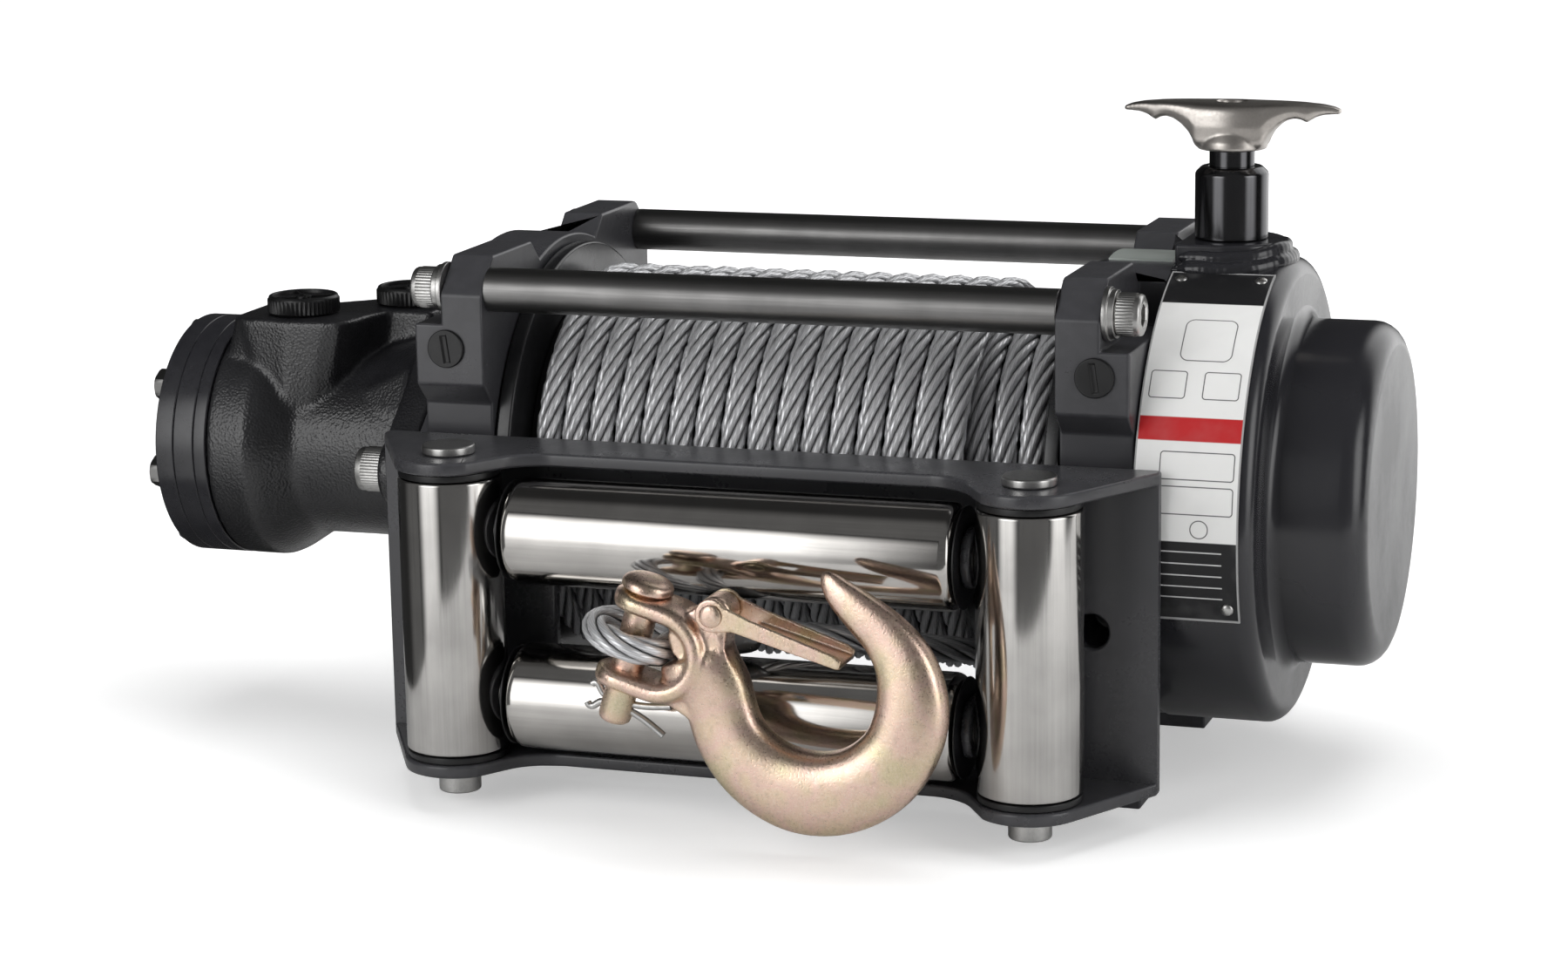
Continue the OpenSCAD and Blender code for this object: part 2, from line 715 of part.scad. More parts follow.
module port_places() for (p = [port_front, port_rear]) from_axis(p[0], p[1], port_face) children();

// Cast housing: barrel, taper, neck, flange and the raised block under the ports
module motor_housing() color("#28292d") {
    difference() {
        union() {
            on_axis() rotate_extrude($fn = 128) polygon([
                [0, housing_from], [motor_d / 2, housing_from],
                [motor_d / 2, housing_from + motor_barrel_l],
                [motor_neck_r, housing_from + motor_barrel_l + motor_taper_l], [motor_neck_r, adapter_x],
                [pilot_r, adapter_x], [pilot_r, adapter_x + pilot_l], [0, adapter_x + pilot_l]]);
            on_axis(motor_flange_x) linear_extrude(motor_flange_t) motor_flange_outline();
            from_axis() port_block();
        }
        ring_x(housing_from - cut, motor_cavity_r, motor_body_l - 2 * motor_flange_t);
        ring_x(housing_from, motor_shaft_r + running, motor_body_l + pilot_l + cut);
        ring_x(adapter_x + pilot_l - seal_t, seal_r + press, seal_t + cut);
        end_bolt_holes(housing_from - cut, end_bolt_in + cut + seat);
        port_places() translate([0, 0, -port_depth]) cylinder(r = port_r, h = port_depth + cut);
        for (p = port_screws) from_axis(p[0], p[1], port_face - port_depth)
            cylinder(r = port_screw_r, h = port_depth + cut);
        for (side = [-1, 1]) on_axis(motor_flange_x - cut) translate([side * motor_screw_y, 0, 0])
            cylinder(r = m12_r + 5 * running, h = motor_flange_t + 2 * cut);
    }
}

// Raised block that carries the two port bosses
module port_block() {
    for (p = [port_front, port_rear]) translate([p[0], p[1], 0]) cylinder(r = port_boss_r, h = port_face);
    translate([port_front[0], port_front[1] - port_boss_r, 0])
        cube([port_rear[0] - port_front[0], port_rear[1] - port_front[1] + port_boss_r, port_face]);
    translate([housing_from + port_edge, -port_boss_r, 0])
        cube([port_front[0] - housing_from, 2 * port_boss_r, port_face - port_edge]);
}

module motor_shaft() color("#a3a6aa") difference() {
    ring_x(motor_shaft_end - motor_shaft_l, motor_shaft_r, motor_shaft_l);
    ring_x(motor_shaft_end - motor_shaft_l - cut, link_r + 2 * seat, link_in + cut);
}

module drive_link() color("#8f9297") {
    l = motor_shaft_end - motor_shaft_l + link_in - gerotor_x;
    ring_x(gerotor_x + seat, link_r, l - 4 * seat);
}

module shaft_seal() color("#161719") ring_x(adapter_x + pilot_l - seal_t, seal_r, seal_t,
    motor_shaft_r + running);

module port_caps() color("#17181a") port_places() difference() {
    union() {
        cylinder(r = port_cap_r, h = port_cap_h);
        translate([0, 0, seat - port_depth]) cylinder(r = port_r - running, h = port_depth);
    }
    translate([0, 0, port_cap_h - port_key_depth])
        cylinder(r = port_key_r, h = port_key_depth + cut, $fn = 6);
}

module motor_flange_screws() color("#b9bcc0") for (side = [-1, 1])
    on_axis(motor_flange_x) translate([side * motor_screw_y, 0, 0]) rotate([180, 0, 0])
        socket_screw(m12_r, motor_flange_t + m12_in - seat, m12_head_r, m12_head_h, m12_key_r,
            m12_key_depth);

// Sleeve that joins the motor shaft to the long drive shaft
module shaft_coupling() color("#77797d") {
    from = adapter_x + pilot_l + 2;
    difference() {
        ring_x(from, coupling_r, coupling_l);
        ring_x(from - cut, motor_shaft_r + press, motor_shaft_end - from + cut + seat);
        ring_x(from, drive_shaft_r + press, coupling_l + cut);
    }
}

module drive_shaft() color("#93969b") ring_x(drive_shaft_from, drive_shaft_r,
    drive_shaft_to - drive_shaft_from);

module sun_gear() color("#9fa2a6") on_axis(in_gear_x) difference() {
    linear_extrude(in_gear_w) spur(in_teeth_sun, module_in, 0);
    translate([0, 0, -cut]) cylinder(r = drive_shaft_r + press, h = in_gear_w + 2 * cut);
}

// A planet gear with its bore, at its place in the stage
module planet(at, x, w, orbit, sun, teeth, size, pin_r) on_axis(x)
    translate([orbit * cos(at), orbit * sin(at), 0]) difference() {
        linear_extrude(w) spur(teeth, size, planet_phase(at, sun, teeth));
        translate([0, 0, -cut]) cylinder(r = pin_r + running, h = w + 2 * cut);
    }

module input_planet(at) color("#a8864f") planet(at, in_gear_x, in_gear_w, in_orbit_r, in_teeth_sun,
    in_teeth_planet, module_in, in_pin_r);

module output_planet(at) color("#8e9196") planet(at, out_gear_x, out_gear_w, out_orbit_r, out_teeth_sun,
    out_teeth_planet, module_out, out_pin_r);

module input_ring_gear() color("#5d6064") on_axis(in_gear_x) difference() {
    cylinder(r = cap_cavity_r - press, h = in_gear_w, $fn = 128);
    translate([0, 0, -cut]) linear_extrude(in_gear_w + 2 * cut)
        ring_space(in_teeth_ring, module_in, ring_phase(in_teeth_planet, in_teeth_ring));
}

// Floating ring of the output stage, held by the plunger in one of its outer notches
module clutch_ring_gear() color("#6a6d72") on_axis(out_gear_x) difference() {
    cylinder(r = cavity_r - seat - 4 * running, h = out_gear_w, $fn = 128);
    translate([0, 0, -cut]) linear_extrude(out_gear_w + 2 * cut)
        ring_space(out_teeth_ring, module_out, ring_phase(out_teeth_planet, out_teeth_ring));
    for (k = [0 : notch_count - 1]) rotate(90 + 360 * k / notch_count)
        translate([notch_floor, -plunger_r - seat, clutch_at - out_gear_x - plunger_r - seat])
        cube([2 * notch_depth, 2 * (plunger_r + seat), 2 * (plunger_r + seat)]);
}

module planet_pins(x, l, orbit, r) for (at = [0, 120, 240]) on_axis(x)
    translate([orbit * cos(at), orbit * sin(at), 0]) cylinder(r = r, h = l);

module output_carrier() color("#54575b") difference() {
    union() {
        ring_x(outer_x - recess_t + 2 * seat, carrier_out_r, carrier_out_t + recess_t / 2);
        ring_x(inner_x - bush_l, drum_bore - press, outer_x - inner_x + bush_l - recess_t + cut);
    }
    ring_x(inner_x - bush_l - cut, drive_shaft_r + cut, support_t + 2 * bush_l);
    for (at = [0, 120, 240]) on_axis(outer_x - recess_t)
        translate([out_orbit_r * cos(at), out_orbit_r * sin(at), 0])
        cylinder(r = out_pin_r + press, h = 2 * carrier_out_t + recess_t);
}

module output_planet_pins() color("#b0b3b7")
    planet_pins(carrier_out_face - carrier_out_t,
        out_gear_x + out_gear_w - carrier_out_face + carrier_out_t, out_orbit_r,
        out_pin_r);

// Carrier of the input stage, with the output stage's sun cut on its hub
module input_carrier() color("#54575b") difference() {
    union() {
        on_axis(out_gear_x) linear_extrude(in_carrier_x - out_gear_x) spur(out_teeth_sun, module_out, 0);
        ring_x(in_carrier_x, carrier_in_r, carrier_in_t);
    }
    ring_x(out_gear_x - cut, drive_shaft_r + running, in_carrier_x + carrier_in_t - out_gear_x + 2 * cut);
    for (at = [0, 120, 240]) on_axis(in_carrier_x - cut)
        translate([in_orbit_r * cos(at), in_orbit_r * sin(at), 0])
        cylinder(r = in_pin_r + press, h = carrier_in_t + 2 * cut);
}

module input_planet_pins() color("#b0b3b7")
    planet_pins(in_carrier_x, carrier_in_t + seat + in_gear_w, in_orbit_r, in_pin_r);

// Quarter round of a turned edge, from one angle to the next
function arc(cx, cy, r, from, to) = [for (k = [0 : 6]) let (a = from + (to - from) * k / 6)
    [cx + r * cos(a), cy + r * sin(a)]];

// Shell of the gearbox: wide drum end, smooth neck and end cap in one casting
module gear_housing() color("#2b2d31") difference() {
    union() {
        on_axis() rotate_extrude($fn = 128) polygon(concat(
            [[0, housing_x], [housing_r, housing_x]],
            arc(housing_r - housing_fillet, neck_x - housing_fillet, housing_fillet, 0, 90),
            arc(cap_r + neck_fillet, neck_x + neck_fillet, neck_fillet, 270, 180),
            arc(cap_r - cap_fillet, cap_x - cap_fillet, cap_fillet, 0, 90),
            [[0, cap_x]]));
        intersection() {
            from_axis(boss_left, -boss_w / 2, boss_low)
                cube([clutch_at - boss_left + boss_w / 2, boss_w, boss_top - boss_low]);
            union() {
                from_axis(boss_left, -boss_w / 2, boss_low)
                    cube([clutch_at - boss_left, boss_w, boss_top - boss_low]);
                from_axis(clutch_at, 0, boss_low) cylinder(d = boss_w, h = boss_top - boss_low);
            }
        }
    }
    ring_x(housing_x - cut, cavity_r, housing_l - shoulder_t + cut);
    ring_x(housing_x, cap_cavity_r, cap_x - end_wall - housing_x);
    from_axis(clutch_at, 0, 0) cylinder(r = plunger_r + running, h = boss_top + cut);
    for (a = screw_angles) on_axis(housing_x - cut) rotate(a) translate([screw_ring_r, 0, 0])
        cylinder(r = m5_r + press, h = m5_in + cut);
}

module housing_screws() color("#3a3c40") for (a = screw_angles)
    on_axis(inner_x + m5_head_h + seat) rotate(a) translate([screw_ring_r, 0, 0]) rotate([180, 0, 0])
        socket_screw(m5_r, support_t - m5_head_h - seat + m5_in - seat, m5_head_r, m5_head_h, m5_r, m5_r);

module label_plate() color("#d8dadc") {
    on_axis(label_x) linear_extrude(label_w) intersection() {
        difference() {
            circle(r = housing_r + label_t, $fn = 128);
            circle(r = housing_r + press, $fn = 128);
        }
        mirror([1, 0]) polygon(concat([[0, 0]],
            [for (k = [0 : 5]) let (a = label_from + (label_to - label_from) * k / 5)
                2 * housing_r * [cos(a), sin(a)]]));
    }
    on_axis(inner_x + name_edge) linear_extrude(support_t - 2 * name_edge) intersection() {
        difference() {
            circle(r = support_r + label_t, $fn = 128);
            circle(r = support_r + press, $fn = 128);
        }
        translate([-name_w / 2, 0]) square([name_w, 2 * support_r]);
    }
}

module label_rivets() color("#c4c6c9") for (x = [rivet_edge, label_w - rivet_edge])
    for (a = [label_from + rivet_turn, label_to - rivet_turn])
        on_axis(label_x + x) rotate([0, 0, 180 - a]) translate([housing_r + label_t, 0, 0])
            rotate([0, 90, 0])
            cylinder(r = rivet_r, h = rivet_h);

module clutch_sleeve() color("#303236") from_axis(clutch_at, 0, boss_top) difference() {
    union() {
        cylinder(d = sleeve_d, h = sleeve_h - sleeve_chamfer);
        translate([0, 0, sleeve_h - sleeve_chamfer])
            cylinder(d1 = sleeve_d, d2 = sleeve_d - 2 * sleeve_chamfer, h = sleeve_chamfer);
    }
    translate([0, 0, -cut]) cylinder(r = sleeve_bore, h = sleeve_h - sleeve_lid + cut);
    cylinder(d = stem_d + 2 * running, h = sleeve_h + cut);
}

module clutch_plunger() color("#85888d") from_axis(clutch_at) difference() {
    union() {
        translate([0, 0, notch_floor + seat]) cylinder(r = plunger_r, h = boss_top - notch_floor);
        translate([0, 0, boss_top + seat]) cylinder(r = collar_r, h = collar_t);
        translate([0, 0, boss_top + seat]) cylinder(d = stem_d, h = handle_low - seat - boss_top - seat);
        translate([0, 0, boss_top + seat]) cylinder(r = spigot_r, h = handle_low - boss_top + spigot_h);
    }
    translate([0, 0, handle_low + spigot_h + seat - m6_in]) cylinder(r = m6_r, h = m6_in + cut);
}

module clutch_spring() color("#8a8d91") from_axis(clutch_at, 0, boss_top + seat + collar_t) difference() {
    cylinder(r = sleeve_bore - seat, h = sleeve_h - sleeve_lid - seat - collar_t);
    translate([0, 0, -cut]) cylinder(d = stem_d + seat, h = sleeve_h);
}

// T handle: round neck, waist and two wings that taper to the tips
module clutch_handle() color("#b9aea4") from_axis(clutch_at) difference() {
    union() {
        translate([0, 0, handle_low]) cylinder(r = neck_r, h = neck_h);
        translate([0, 0, handle_low + neck_h])
            cylinder(r1 = neck_r, r2 = waist_r, h = waist_z - handle_low - neck_h);
        for (side = [-1, 1]) hull() {
            translate([-waist_r / 2, -handle_half_w, waist_z])
                cube([waist_r, 2 * handle_half_w, handle_top - waist_z]);
            translate([side * (handle_l / 2 - tip_half_w) - tip_half_w, -tip_half_w,
                handle_top - tip_t - tip_drop])
                cube([2 * tip_half_w, 2 * tip_half_w, tip_t]);
        }
    }
    translate([0, 0, handle_low - cut]) cylinder(r = spigot_r + running, h = spigot_h + cut + 2 * seat);
    translate([0, 0, handle_low]) cylinder(r = m6_r + 2 * running, h = handle_top - handle_low);
    translate([0, 0, handle_top - m6_head_h - m6_sink])
        cylinder(r = m6_head_r + seat, h = m6_head_h + m6_sink + cut);
}

module handle_screw() color("#2a2b2d") from_axis(clutch_at, 0, handle_top - m6_head_h - m6_sink)
    socket_screw(m6_r - running, handle_top - m6_head_h - m6_sink - handle_low - spigot_h + m6_in - cut,
        m6_head_r,
        m6_head_h, m6_key_r, m6_r);

// Plan of the fairlead's top and bottom plates
module fairlead_plan() {
    reach = [frame_half - fair_x, -face_y - plate_t - upright_y];
    turn = atan2(reach[1], reach[0]) - acos(lobe_r / norm(reach));
    translate([-frame_half, mid_edge_y]) square([2 * frame_half, -face_y - mid_edge_y]);
    for (side = [0, 1]) mirror([side, 0]) {
        translate([fair_x, upright_y]) circle(r = lobe_r);
        polygon([[fair_x, upright_y], [fair_x + lobe_r * cos(turn), upright_y + lobe_r * sin(turn)],
            [frame_half, -face_y - plate_t], [fair_x, -face_y]]);
        polygon([[fair_x, upright_y], [fair_x - lobe_r * cos(55), upright_y - lobe_r * sin(55)],
            [fair_x - 2 * lobe_r, mid_edge_y], [fair_x, -face_y]]);
    }
}

// What lies outside the slanted ends of the plan
module plan_corners() {
    reach = [frame_half - fair_x, -face_y - plate_t - upright_y];
    turn = atan2(reach[1], reach[0]) - acos(lobe_r / norm(reach));
    far = 2 * frame_half;
    for (side = [0, 1]) mirror([side, 0]) polygon([[frame_half, -face_y - plate_t],
        [fair_x + lobe_r * cos(turn), upright_y + lobe_r * sin(turn)],
        [fair_x + lobe_r * cos(turn), -far], [far, -far], [far, -face_y - plate_t]]);
}

module fairlead_frame() color("#34363a") from_axis(0, 0, fair_z) difference() {
    union() {
        for (z = [-frame_half_h, frame_half_h - plate_t]) translate([0, 0, z]) linear_extrude(plate_t)
            difference() {
            fairlead_plan();
            plan_corners();
        }
        translate([-frame_half, -face_y - plate_t, -frame_half_h])
            cube([2 * frame_half, plate_t, 2 * frame_half_h]);
        for (side = [0, 1]) mirror([side, 0, 0]) for (z = [-level_dz, level_dz]) {
            translate([tab_x, level_y, z]) rotate([0, 90, 0]) cylinder(r = tab_r, h = tab_t);
            translate([tab_x, level_y, z - tab_r])
                cube([tab_t, -face_y - level_y - plate_t / 2, 2 * tab_r]);
        }
    }
    translate([-window_x, -face_y - 2 * plate_t, -window_half_h])
        cube([2 * window_x, 3 * plate_t, 2 * window_half_h]);
    for (side = [-1, 1]) {
        translate([side * mount_x, -face_y + cut, 0]) rotate([90, 0, 0])
            cylinder(d = fairlead_bore, h = plate_t + 2 * cut);
        translate([side * fair_x, upright_y, -frame_half_h - cut])
            cylinder(r = upright_pin_r + press, h = 2 * frame_half_h + 2 * cut);
        for (z = [-level_dz, level_dz]) translate([side * tab_x - 2 * tab_t, level_y, z]) rotate([0, 90, 0])
            cylinder(r = level_pin_r + press, h = 4 * tab_t);
    }
}

module upright_roller(x) color("#c9c5c0") from_axis(x, upright_y, fair_z - upright_l / 2) difference() {
    cylinder(d = upright_d, h = upright_l);
    translate([0, 0, -cut]) cylinder(r = roller_bore, h = upright_l + 2 * cut);
}

module level_roller(z) color("#c9c5c0") from_axis(-level_l / 2, level_y, fair_z + z) rotate([0, 90, 0])
    difference() {
    cylinder(d = level_d, h = level_l);
    translate([0, 0, -cut]) cylinder(r = roller_bore, h = level_l + 2 * cut);
}

// Flanged plastic bush: its collar stands on zero, its sleeve points down into the roller
module roller_bush(collar_radius, collar_thick, pin_r) difference() {
    union() {
        translate([0, 0, seat]) cylinder(r = collar_radius, h = collar_thick - seat);
        translate([0, 0, -bush_in_l]) cylinder(r = roller_bore - running, h = bush_in_l + collar_thick);
    }
    translate([0, 0, -bush_in_l - cut]) cylinder(r = pin_r + press, h = bush_in_l + collar_thick + 2 * cut);
}

module roller_bushes() color("#141516") from_axis(0, 0, fair_z) {
    for (side = [-1, 1]) for (end = [0, 1]) translate([side * fair_x, upright_y, 0]) mirror([0, 0, end])
        translate([0, 0, upright_l / 2]) roller_bush(upright_d / 2 - seat, collar_h, upright_pin_r);
    for (z = [-level_dz, level_dz]) for (end = [-1, 1]) translate([end * level_l / 2, level_y, z])
        rotate([0, 90 * end, 0]) roller_bush(level_d / 2 - 4 * seat, tab_x - level_l / 2, level_pin_r);
}

module roller_pins() color("#a9acb0") from_axis(0, 0, fair_z) {
    for (side = [-1, 1]) translate([side * fair_x, upright_y, 0]) {
        translate([0, 0, -frame_half_h - upright_end])
            cylinder(r = upright_pin_r, h = 2 * frame_half_h + upright_end);
        translate([0, 0, frame_half_h]) cylinder(r = upright_head_r, h = upright_head_h);
    }
    for (z = [-level_dz, level_dz]) translate([-tab_x - tab_t, level_y, z]) rotate([0, 90, 0])
        cylinder(r = level_pin_r, h = 2 * (tab_x + tab_t));
}

// Places a shape in the hook's own frame: u is X, v is Z, and Y is unchanged
module on_hook() from_axis(hook_x, hook_y, hook_z) rotate([0, hook_tilt, 0]) children();

module hook_body() color("#b79a63") on_hook() difference() {
    union() {
        skin([for (i = [0 : len(hook_points) - 1])
            let (d = heading(hook_points, i), s = unit(cross(d, [0, 1, 0])))
            section(hook_points[i], s, [0, 1, 0], hook_halves[i], hook_halves[i] * hook_flat_share,
                hook_sides)],
            hook_sides);
        for (side = [0, 1]) mirror([0, 0, side]) translate([0, 0, clevis_gap / 2]) {
            cylinder(r = ear_r, h = ear_t);
            translate([0, -ear_r, 0]) cube([yoke_u, 2 * ear_r, ear_t]);
        }
        intersection() {
            translate([yoke_u, 0, 0]) rotate([90, 0, 0])
                cylinder(r = clevis_gap / 2 + ear_t, h = 2 * ear_r, center = true);
            translate([yoke_u, -ear_r, -clevis_gap / 2 - ear_t])
                cube([clevis_gap + ear_t, 2 * ear_r, clevis_gap + 2 * ear_t]);
        }
        hull() for (c = [[latch_u, latch_v, latch_boss_r], [yoke_u + ear_r, ear_t, ear_r]])
            translate([c[0], 0, c[1]]) rotate([90, 0, 0])
                cylinder(r = c[2], h = latch_lug_t, center = true, $fn = 32);
    }
    translate([yoke_u, 0, 0]) rotate([90, 0, 0]) cylinder(d = clevis_gap, h = 4 * ear_r, center = true);
    translate([0, 0, -clevis_gap]) cylinder(d = clevis_d + 2 * running, h = 2 * clevis_gap);
    translate([latch_u, 0, latch_v]) rotate([90, 0, 0])
        cylinder(r = latch_rivet_r + running, h = 4 * latch_half, center = true);
}

module clevis_pin() color("#c0a469") on_hook() difference() {
    union() {
        translate([0, 0, clevis_gap / 2 + ear_t]) cylinder(r = pin_head_r, h = pin_head_h);
        translate([0, 0, -clevis_gap / 2 - ear_t - pin_end])
            cylinder(d = clevis_d, h = clevis_gap + 2 * ear_t + pin_end);
    }
    cotter_place() rotate([0, 90, 0]) cylinder(r = 2 * cotter_r + 2 * running, h = 2 * clevis_d,
        center = true);
}

module cotter_place() translate([0, 0, -clevis_gap / 2 - ear_t - pin_end / 2]) children();

// Split pin: a ring on the left and two legs that spread on the right
module cotter_pin() color("#8f8a80") on_hook() cotter_place() for (side = [-1, 1])
    tube_along([for (c = cotter_shares) [c[0], 0, side * (c[1] + cotter_gap_share)] * cotter_r],
        cotter_r * cotter_wire_share, cotter_sides);

module hook_latch() color("#c2a566") on_hook() translate([latch_u, 0, latch_v]) {
    difference() {
        union() {
            for (y = [-latch_half - latch_t, latch_half]) translate([0, y, 0]) rotate([-90, 0, 0])
                cylinder(r = latch_boss_r, h = latch_t);
            for (y = [-latch_half - latch_t, latch_half]) translate([0, y, -latch_boss_r / 2])
                cube([latch_l, latch_t, latch_boss_r]);
            translate([latch_web, -latch_half - latch_t / 2, -latch_boss_r / 2])
                cube([latch_l - latch_web, 2 * latch_half + latch_t, latch_t]);
        }
        rotate([90, 0, 0]) cylinder(r = latch_rivet_r + running, h = 4 * latch_half, center = true);
    }
}

module latch_rivet() color("#c9ad70") on_hook() translate([latch_u, 0, latch_v]) rotate([90, 0, 0]) {
    cylinder(r = latch_rivet_r, h = 2 * (latch_half + latch_t + seat), center = true);
    for (end = [-1, 1]) translate([0, 0, end * (latch_half + latch_t + seat + rivet_h / 2)])
        cylinder(r = 1.6 * latch_rivet_r, h = rivet_h, center = true);
}

module latch_spring() color("#8d9095") on_hook() translate([latch_u, 0, latch_v]) rotate([90, 0, 0])
    for (end = [-1, 1]) translate([0, 0, end * (latch_half + latch_lug_t / 2) / 2]) difference() {
        cylinder(r = latch_rivet_r + 2 * spring_wire, h = spring_wire, center = true);
        cylinder(r = latch_rivet_r + seat, h = spring_wire + cut, center = true);
    }

motor_end_cover();
motor_end_bolts();
gerotor_ring();
gerotor_star();
spacer_plate();
motor_housing();
motor_shaft();
drive_link();
shaft_seal();
port_caps();
motor_flange_screws();
motor_support();
gear_support();
mount_plugs();
tie_rods();
tie_rod_screws();
tie_rod_washers();
drum_bushes();
shaft_coupling();
drive_shaft();
drum();
rope_core();
rope_winding();
rope_lead();
rope_ferrule();
gear_housing();
housing_screws();
clutch_ring_gear();
input_ring_gear();
input_planet(0);  // input_planet_a
input_planet(120);  // input_planet_b
input_planet(240);  // input_planet_c
input_carrier();
output_planet(0);  // output_planet_a
output_planet(120);  // output_planet_b
output_planet(240);  // output_planet_c
output_carrier();
input_planet_pins();
output_planet_pins();
sun_gear();
label_plate();
label_rivets();
clutch_sleeve();
clutch_plunger();
clutch_spring();
clutch_handle();
handle_screw();
fairlead_frame();
upright_roller(-fair_x);  // roller_left
upright_roller(fair_x);  // roller_right
level_roller(level_dz);  // roller_upper
level_roller(-level_dz);  // roller_lower
roller_bushes();
roller_pins();
hook_body();
clevis_pin();
cotter_pin();
hook_latch();
latch_rivet();
latch_spring();
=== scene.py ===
# %% [markdown]
# # Dressing a hydraulic winch
# The imported model gives every part its true place and size. This lesson keeps that frame and gives
# the winch its looks: cast and turned edges, real rope strands, a forged hook and paints that show
# grain and gloss, with a painted highlight along their sharp edges. Lengths are written in millimetres and
# shrunk to metres at the end.

# %% Load the frame
import math

import bmesh
import bpy
import numpy as np
from mathutils import Matrix, Vector, noise


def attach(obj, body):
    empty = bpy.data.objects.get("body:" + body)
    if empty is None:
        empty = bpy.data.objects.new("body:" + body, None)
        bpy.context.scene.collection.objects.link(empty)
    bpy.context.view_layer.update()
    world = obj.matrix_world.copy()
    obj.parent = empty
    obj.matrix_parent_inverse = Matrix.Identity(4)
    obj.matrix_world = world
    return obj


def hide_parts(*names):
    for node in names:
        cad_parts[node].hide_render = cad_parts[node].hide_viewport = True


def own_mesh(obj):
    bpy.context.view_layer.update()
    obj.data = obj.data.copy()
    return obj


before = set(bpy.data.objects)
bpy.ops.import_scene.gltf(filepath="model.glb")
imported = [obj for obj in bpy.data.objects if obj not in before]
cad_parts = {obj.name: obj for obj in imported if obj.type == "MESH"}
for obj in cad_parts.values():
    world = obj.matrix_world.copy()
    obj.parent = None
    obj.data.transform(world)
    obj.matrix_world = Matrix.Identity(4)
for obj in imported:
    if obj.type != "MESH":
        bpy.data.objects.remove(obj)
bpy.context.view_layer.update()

MM = 0.001
AXIS_H = 110.0
CLUTCH_X = 157.7


def mesh_of(bm, name):
    """What a construction mesh holds, as a mesh for an object."""
    mesh = bpy.data.meshes.new(name)
    bm.to_mesh(mesh)
    return mesh


def placed(name, data):
    """A new object in the scene."""
    made = bpy.data.objects.new(name, data)
    bpy.context.scene.collection.objects.link(made)
    return made


# %% [markdown]
# ## The camera
# A long lens from the right of centre and a little above, with a slight roll, as a product
# photographer sets it. Its axes are written into a matrix, so there is nothing to aim by hand.

# %% Camera
SWING = math.radians(18.75)
RISE = math.radians(12.33)
ROLL = math.radians(-0.94)
LENS = 85.57
CAMERA_AT = (0.44462, -1.37561, 0.41820)

ahead = Vector((-math.sin(SWING) * math.cos(RISE), math.cos(SWING) * math.cos(RISE), -math.sin(RISE)))
level = Vector((math.cos(SWING), math.sin(SWING), 0))
upward = level.cross(ahead)
right = math.cos(ROLL) * level + math.sin(ROLL) * upward
up = math.cos(ROLL) * upward - math.sin(ROLL) * level
camera = placed("camera", bpy.data.cameras.new("camera"))
camera.data.sensor_width = 36
camera.data.lens = LENS
axes = Matrix((right, up, -ahead)).transposed()
camera.matrix_world = Matrix.Translation(CAMERA_AT) @ axes.to_4x4()
bpy.context.scene.camera = camera
print("camera:", [round(c, 3) for c in camera.location], "lens", LENS)

# %% [markdown]
# ## Writing shader maths as sums
# A material is a net of nodes. The small class below wraps one output socket, so a line such as
# `1 - mask * 0.5` adds the Math nodes by itself. Every other node comes from one method of `Net`.

# %% Shader tools
class Value:
    """One output socket that sums can be written on."""

    def __init__(self, net, socket):
        self.net, self.socket = net, socket

    def __add__(self, other):
        return self.net.maths("ADD", self, other)

    def __sub__(self, other):
        return self.net.maths("SUBTRACT", self, other)

    def __rsub__(self, other):
        return self.net.maths("SUBTRACT", other, self)

    def __mul__(self, other):
        return self.net.maths("MULTIPLY", self, other)


class Net:
    """A net of nodes: a constant is set on its socket, a pattern is linked to it."""

    def __init__(self, tree):
        self.tree = tree

    def node(self, kind, settings=(), inputs=(), output=0):
        made = self.tree.nodes.new("ShaderNode" + kind)
        for key, value in dict(settings).items():
            if key == "stops":
                ramp = made.color_ramp
                while len(ramp.elements) < len(value):
                    ramp.elements.new(0.5)
                for element, (at, colour) in zip(ramp.elements, value):
                    element.position, element.color = at, (*colour, 1)
            else:
                setattr(made, key, value)
        for key, value in dict(inputs).items():
            self.plug(made.inputs[key], value)
        return Value(self, made.outputs[output])

    def plug(self, socket, value):
        if isinstance(value, Value):
            self.tree.links.new(value.socket, socket)
        elif socket.type == "RGBA" and len(value) == 3:
            socket.default_value = (*value, 1)
        else:
            socket.default_value = value

    def maths(self, operation, a, b=0.0):
        return self.node("Math", {"operation": operation}, {0: a, 1: b})

    def axes(self, vector):
        """The X, Y and Z of a vector."""
        return [self.node("SeparateXYZ", inputs={0: vector}, output=axis) for axis in range(3)]

    def between(self, value, low, high, a=0.0, b=1.0, steps="LINEAR"):
        """Maps low..high to a..b, and holds the ends."""
        return self.node("MapRange", {"interpolation_type": steps}, {
            "Value": value, "From Min": low, "From Max": high, "To Min": a, "To Max": b})

    def eased(self, *limits):
        return self.between(*limits, steps="SMOOTHSTEP")

    def seen(self):
        """1 for what the camera, a mirror or glass sees, and 0 for what only lights the scene."""
        seen = self.node("LightPath", output="Is Camera Ray")
        for kind in ("Is Glossy Ray", "Is Transmission Ray"):
            seen = self.maths("MAXIMUM", seen, self.node("LightPath", output=kind))
        return seen


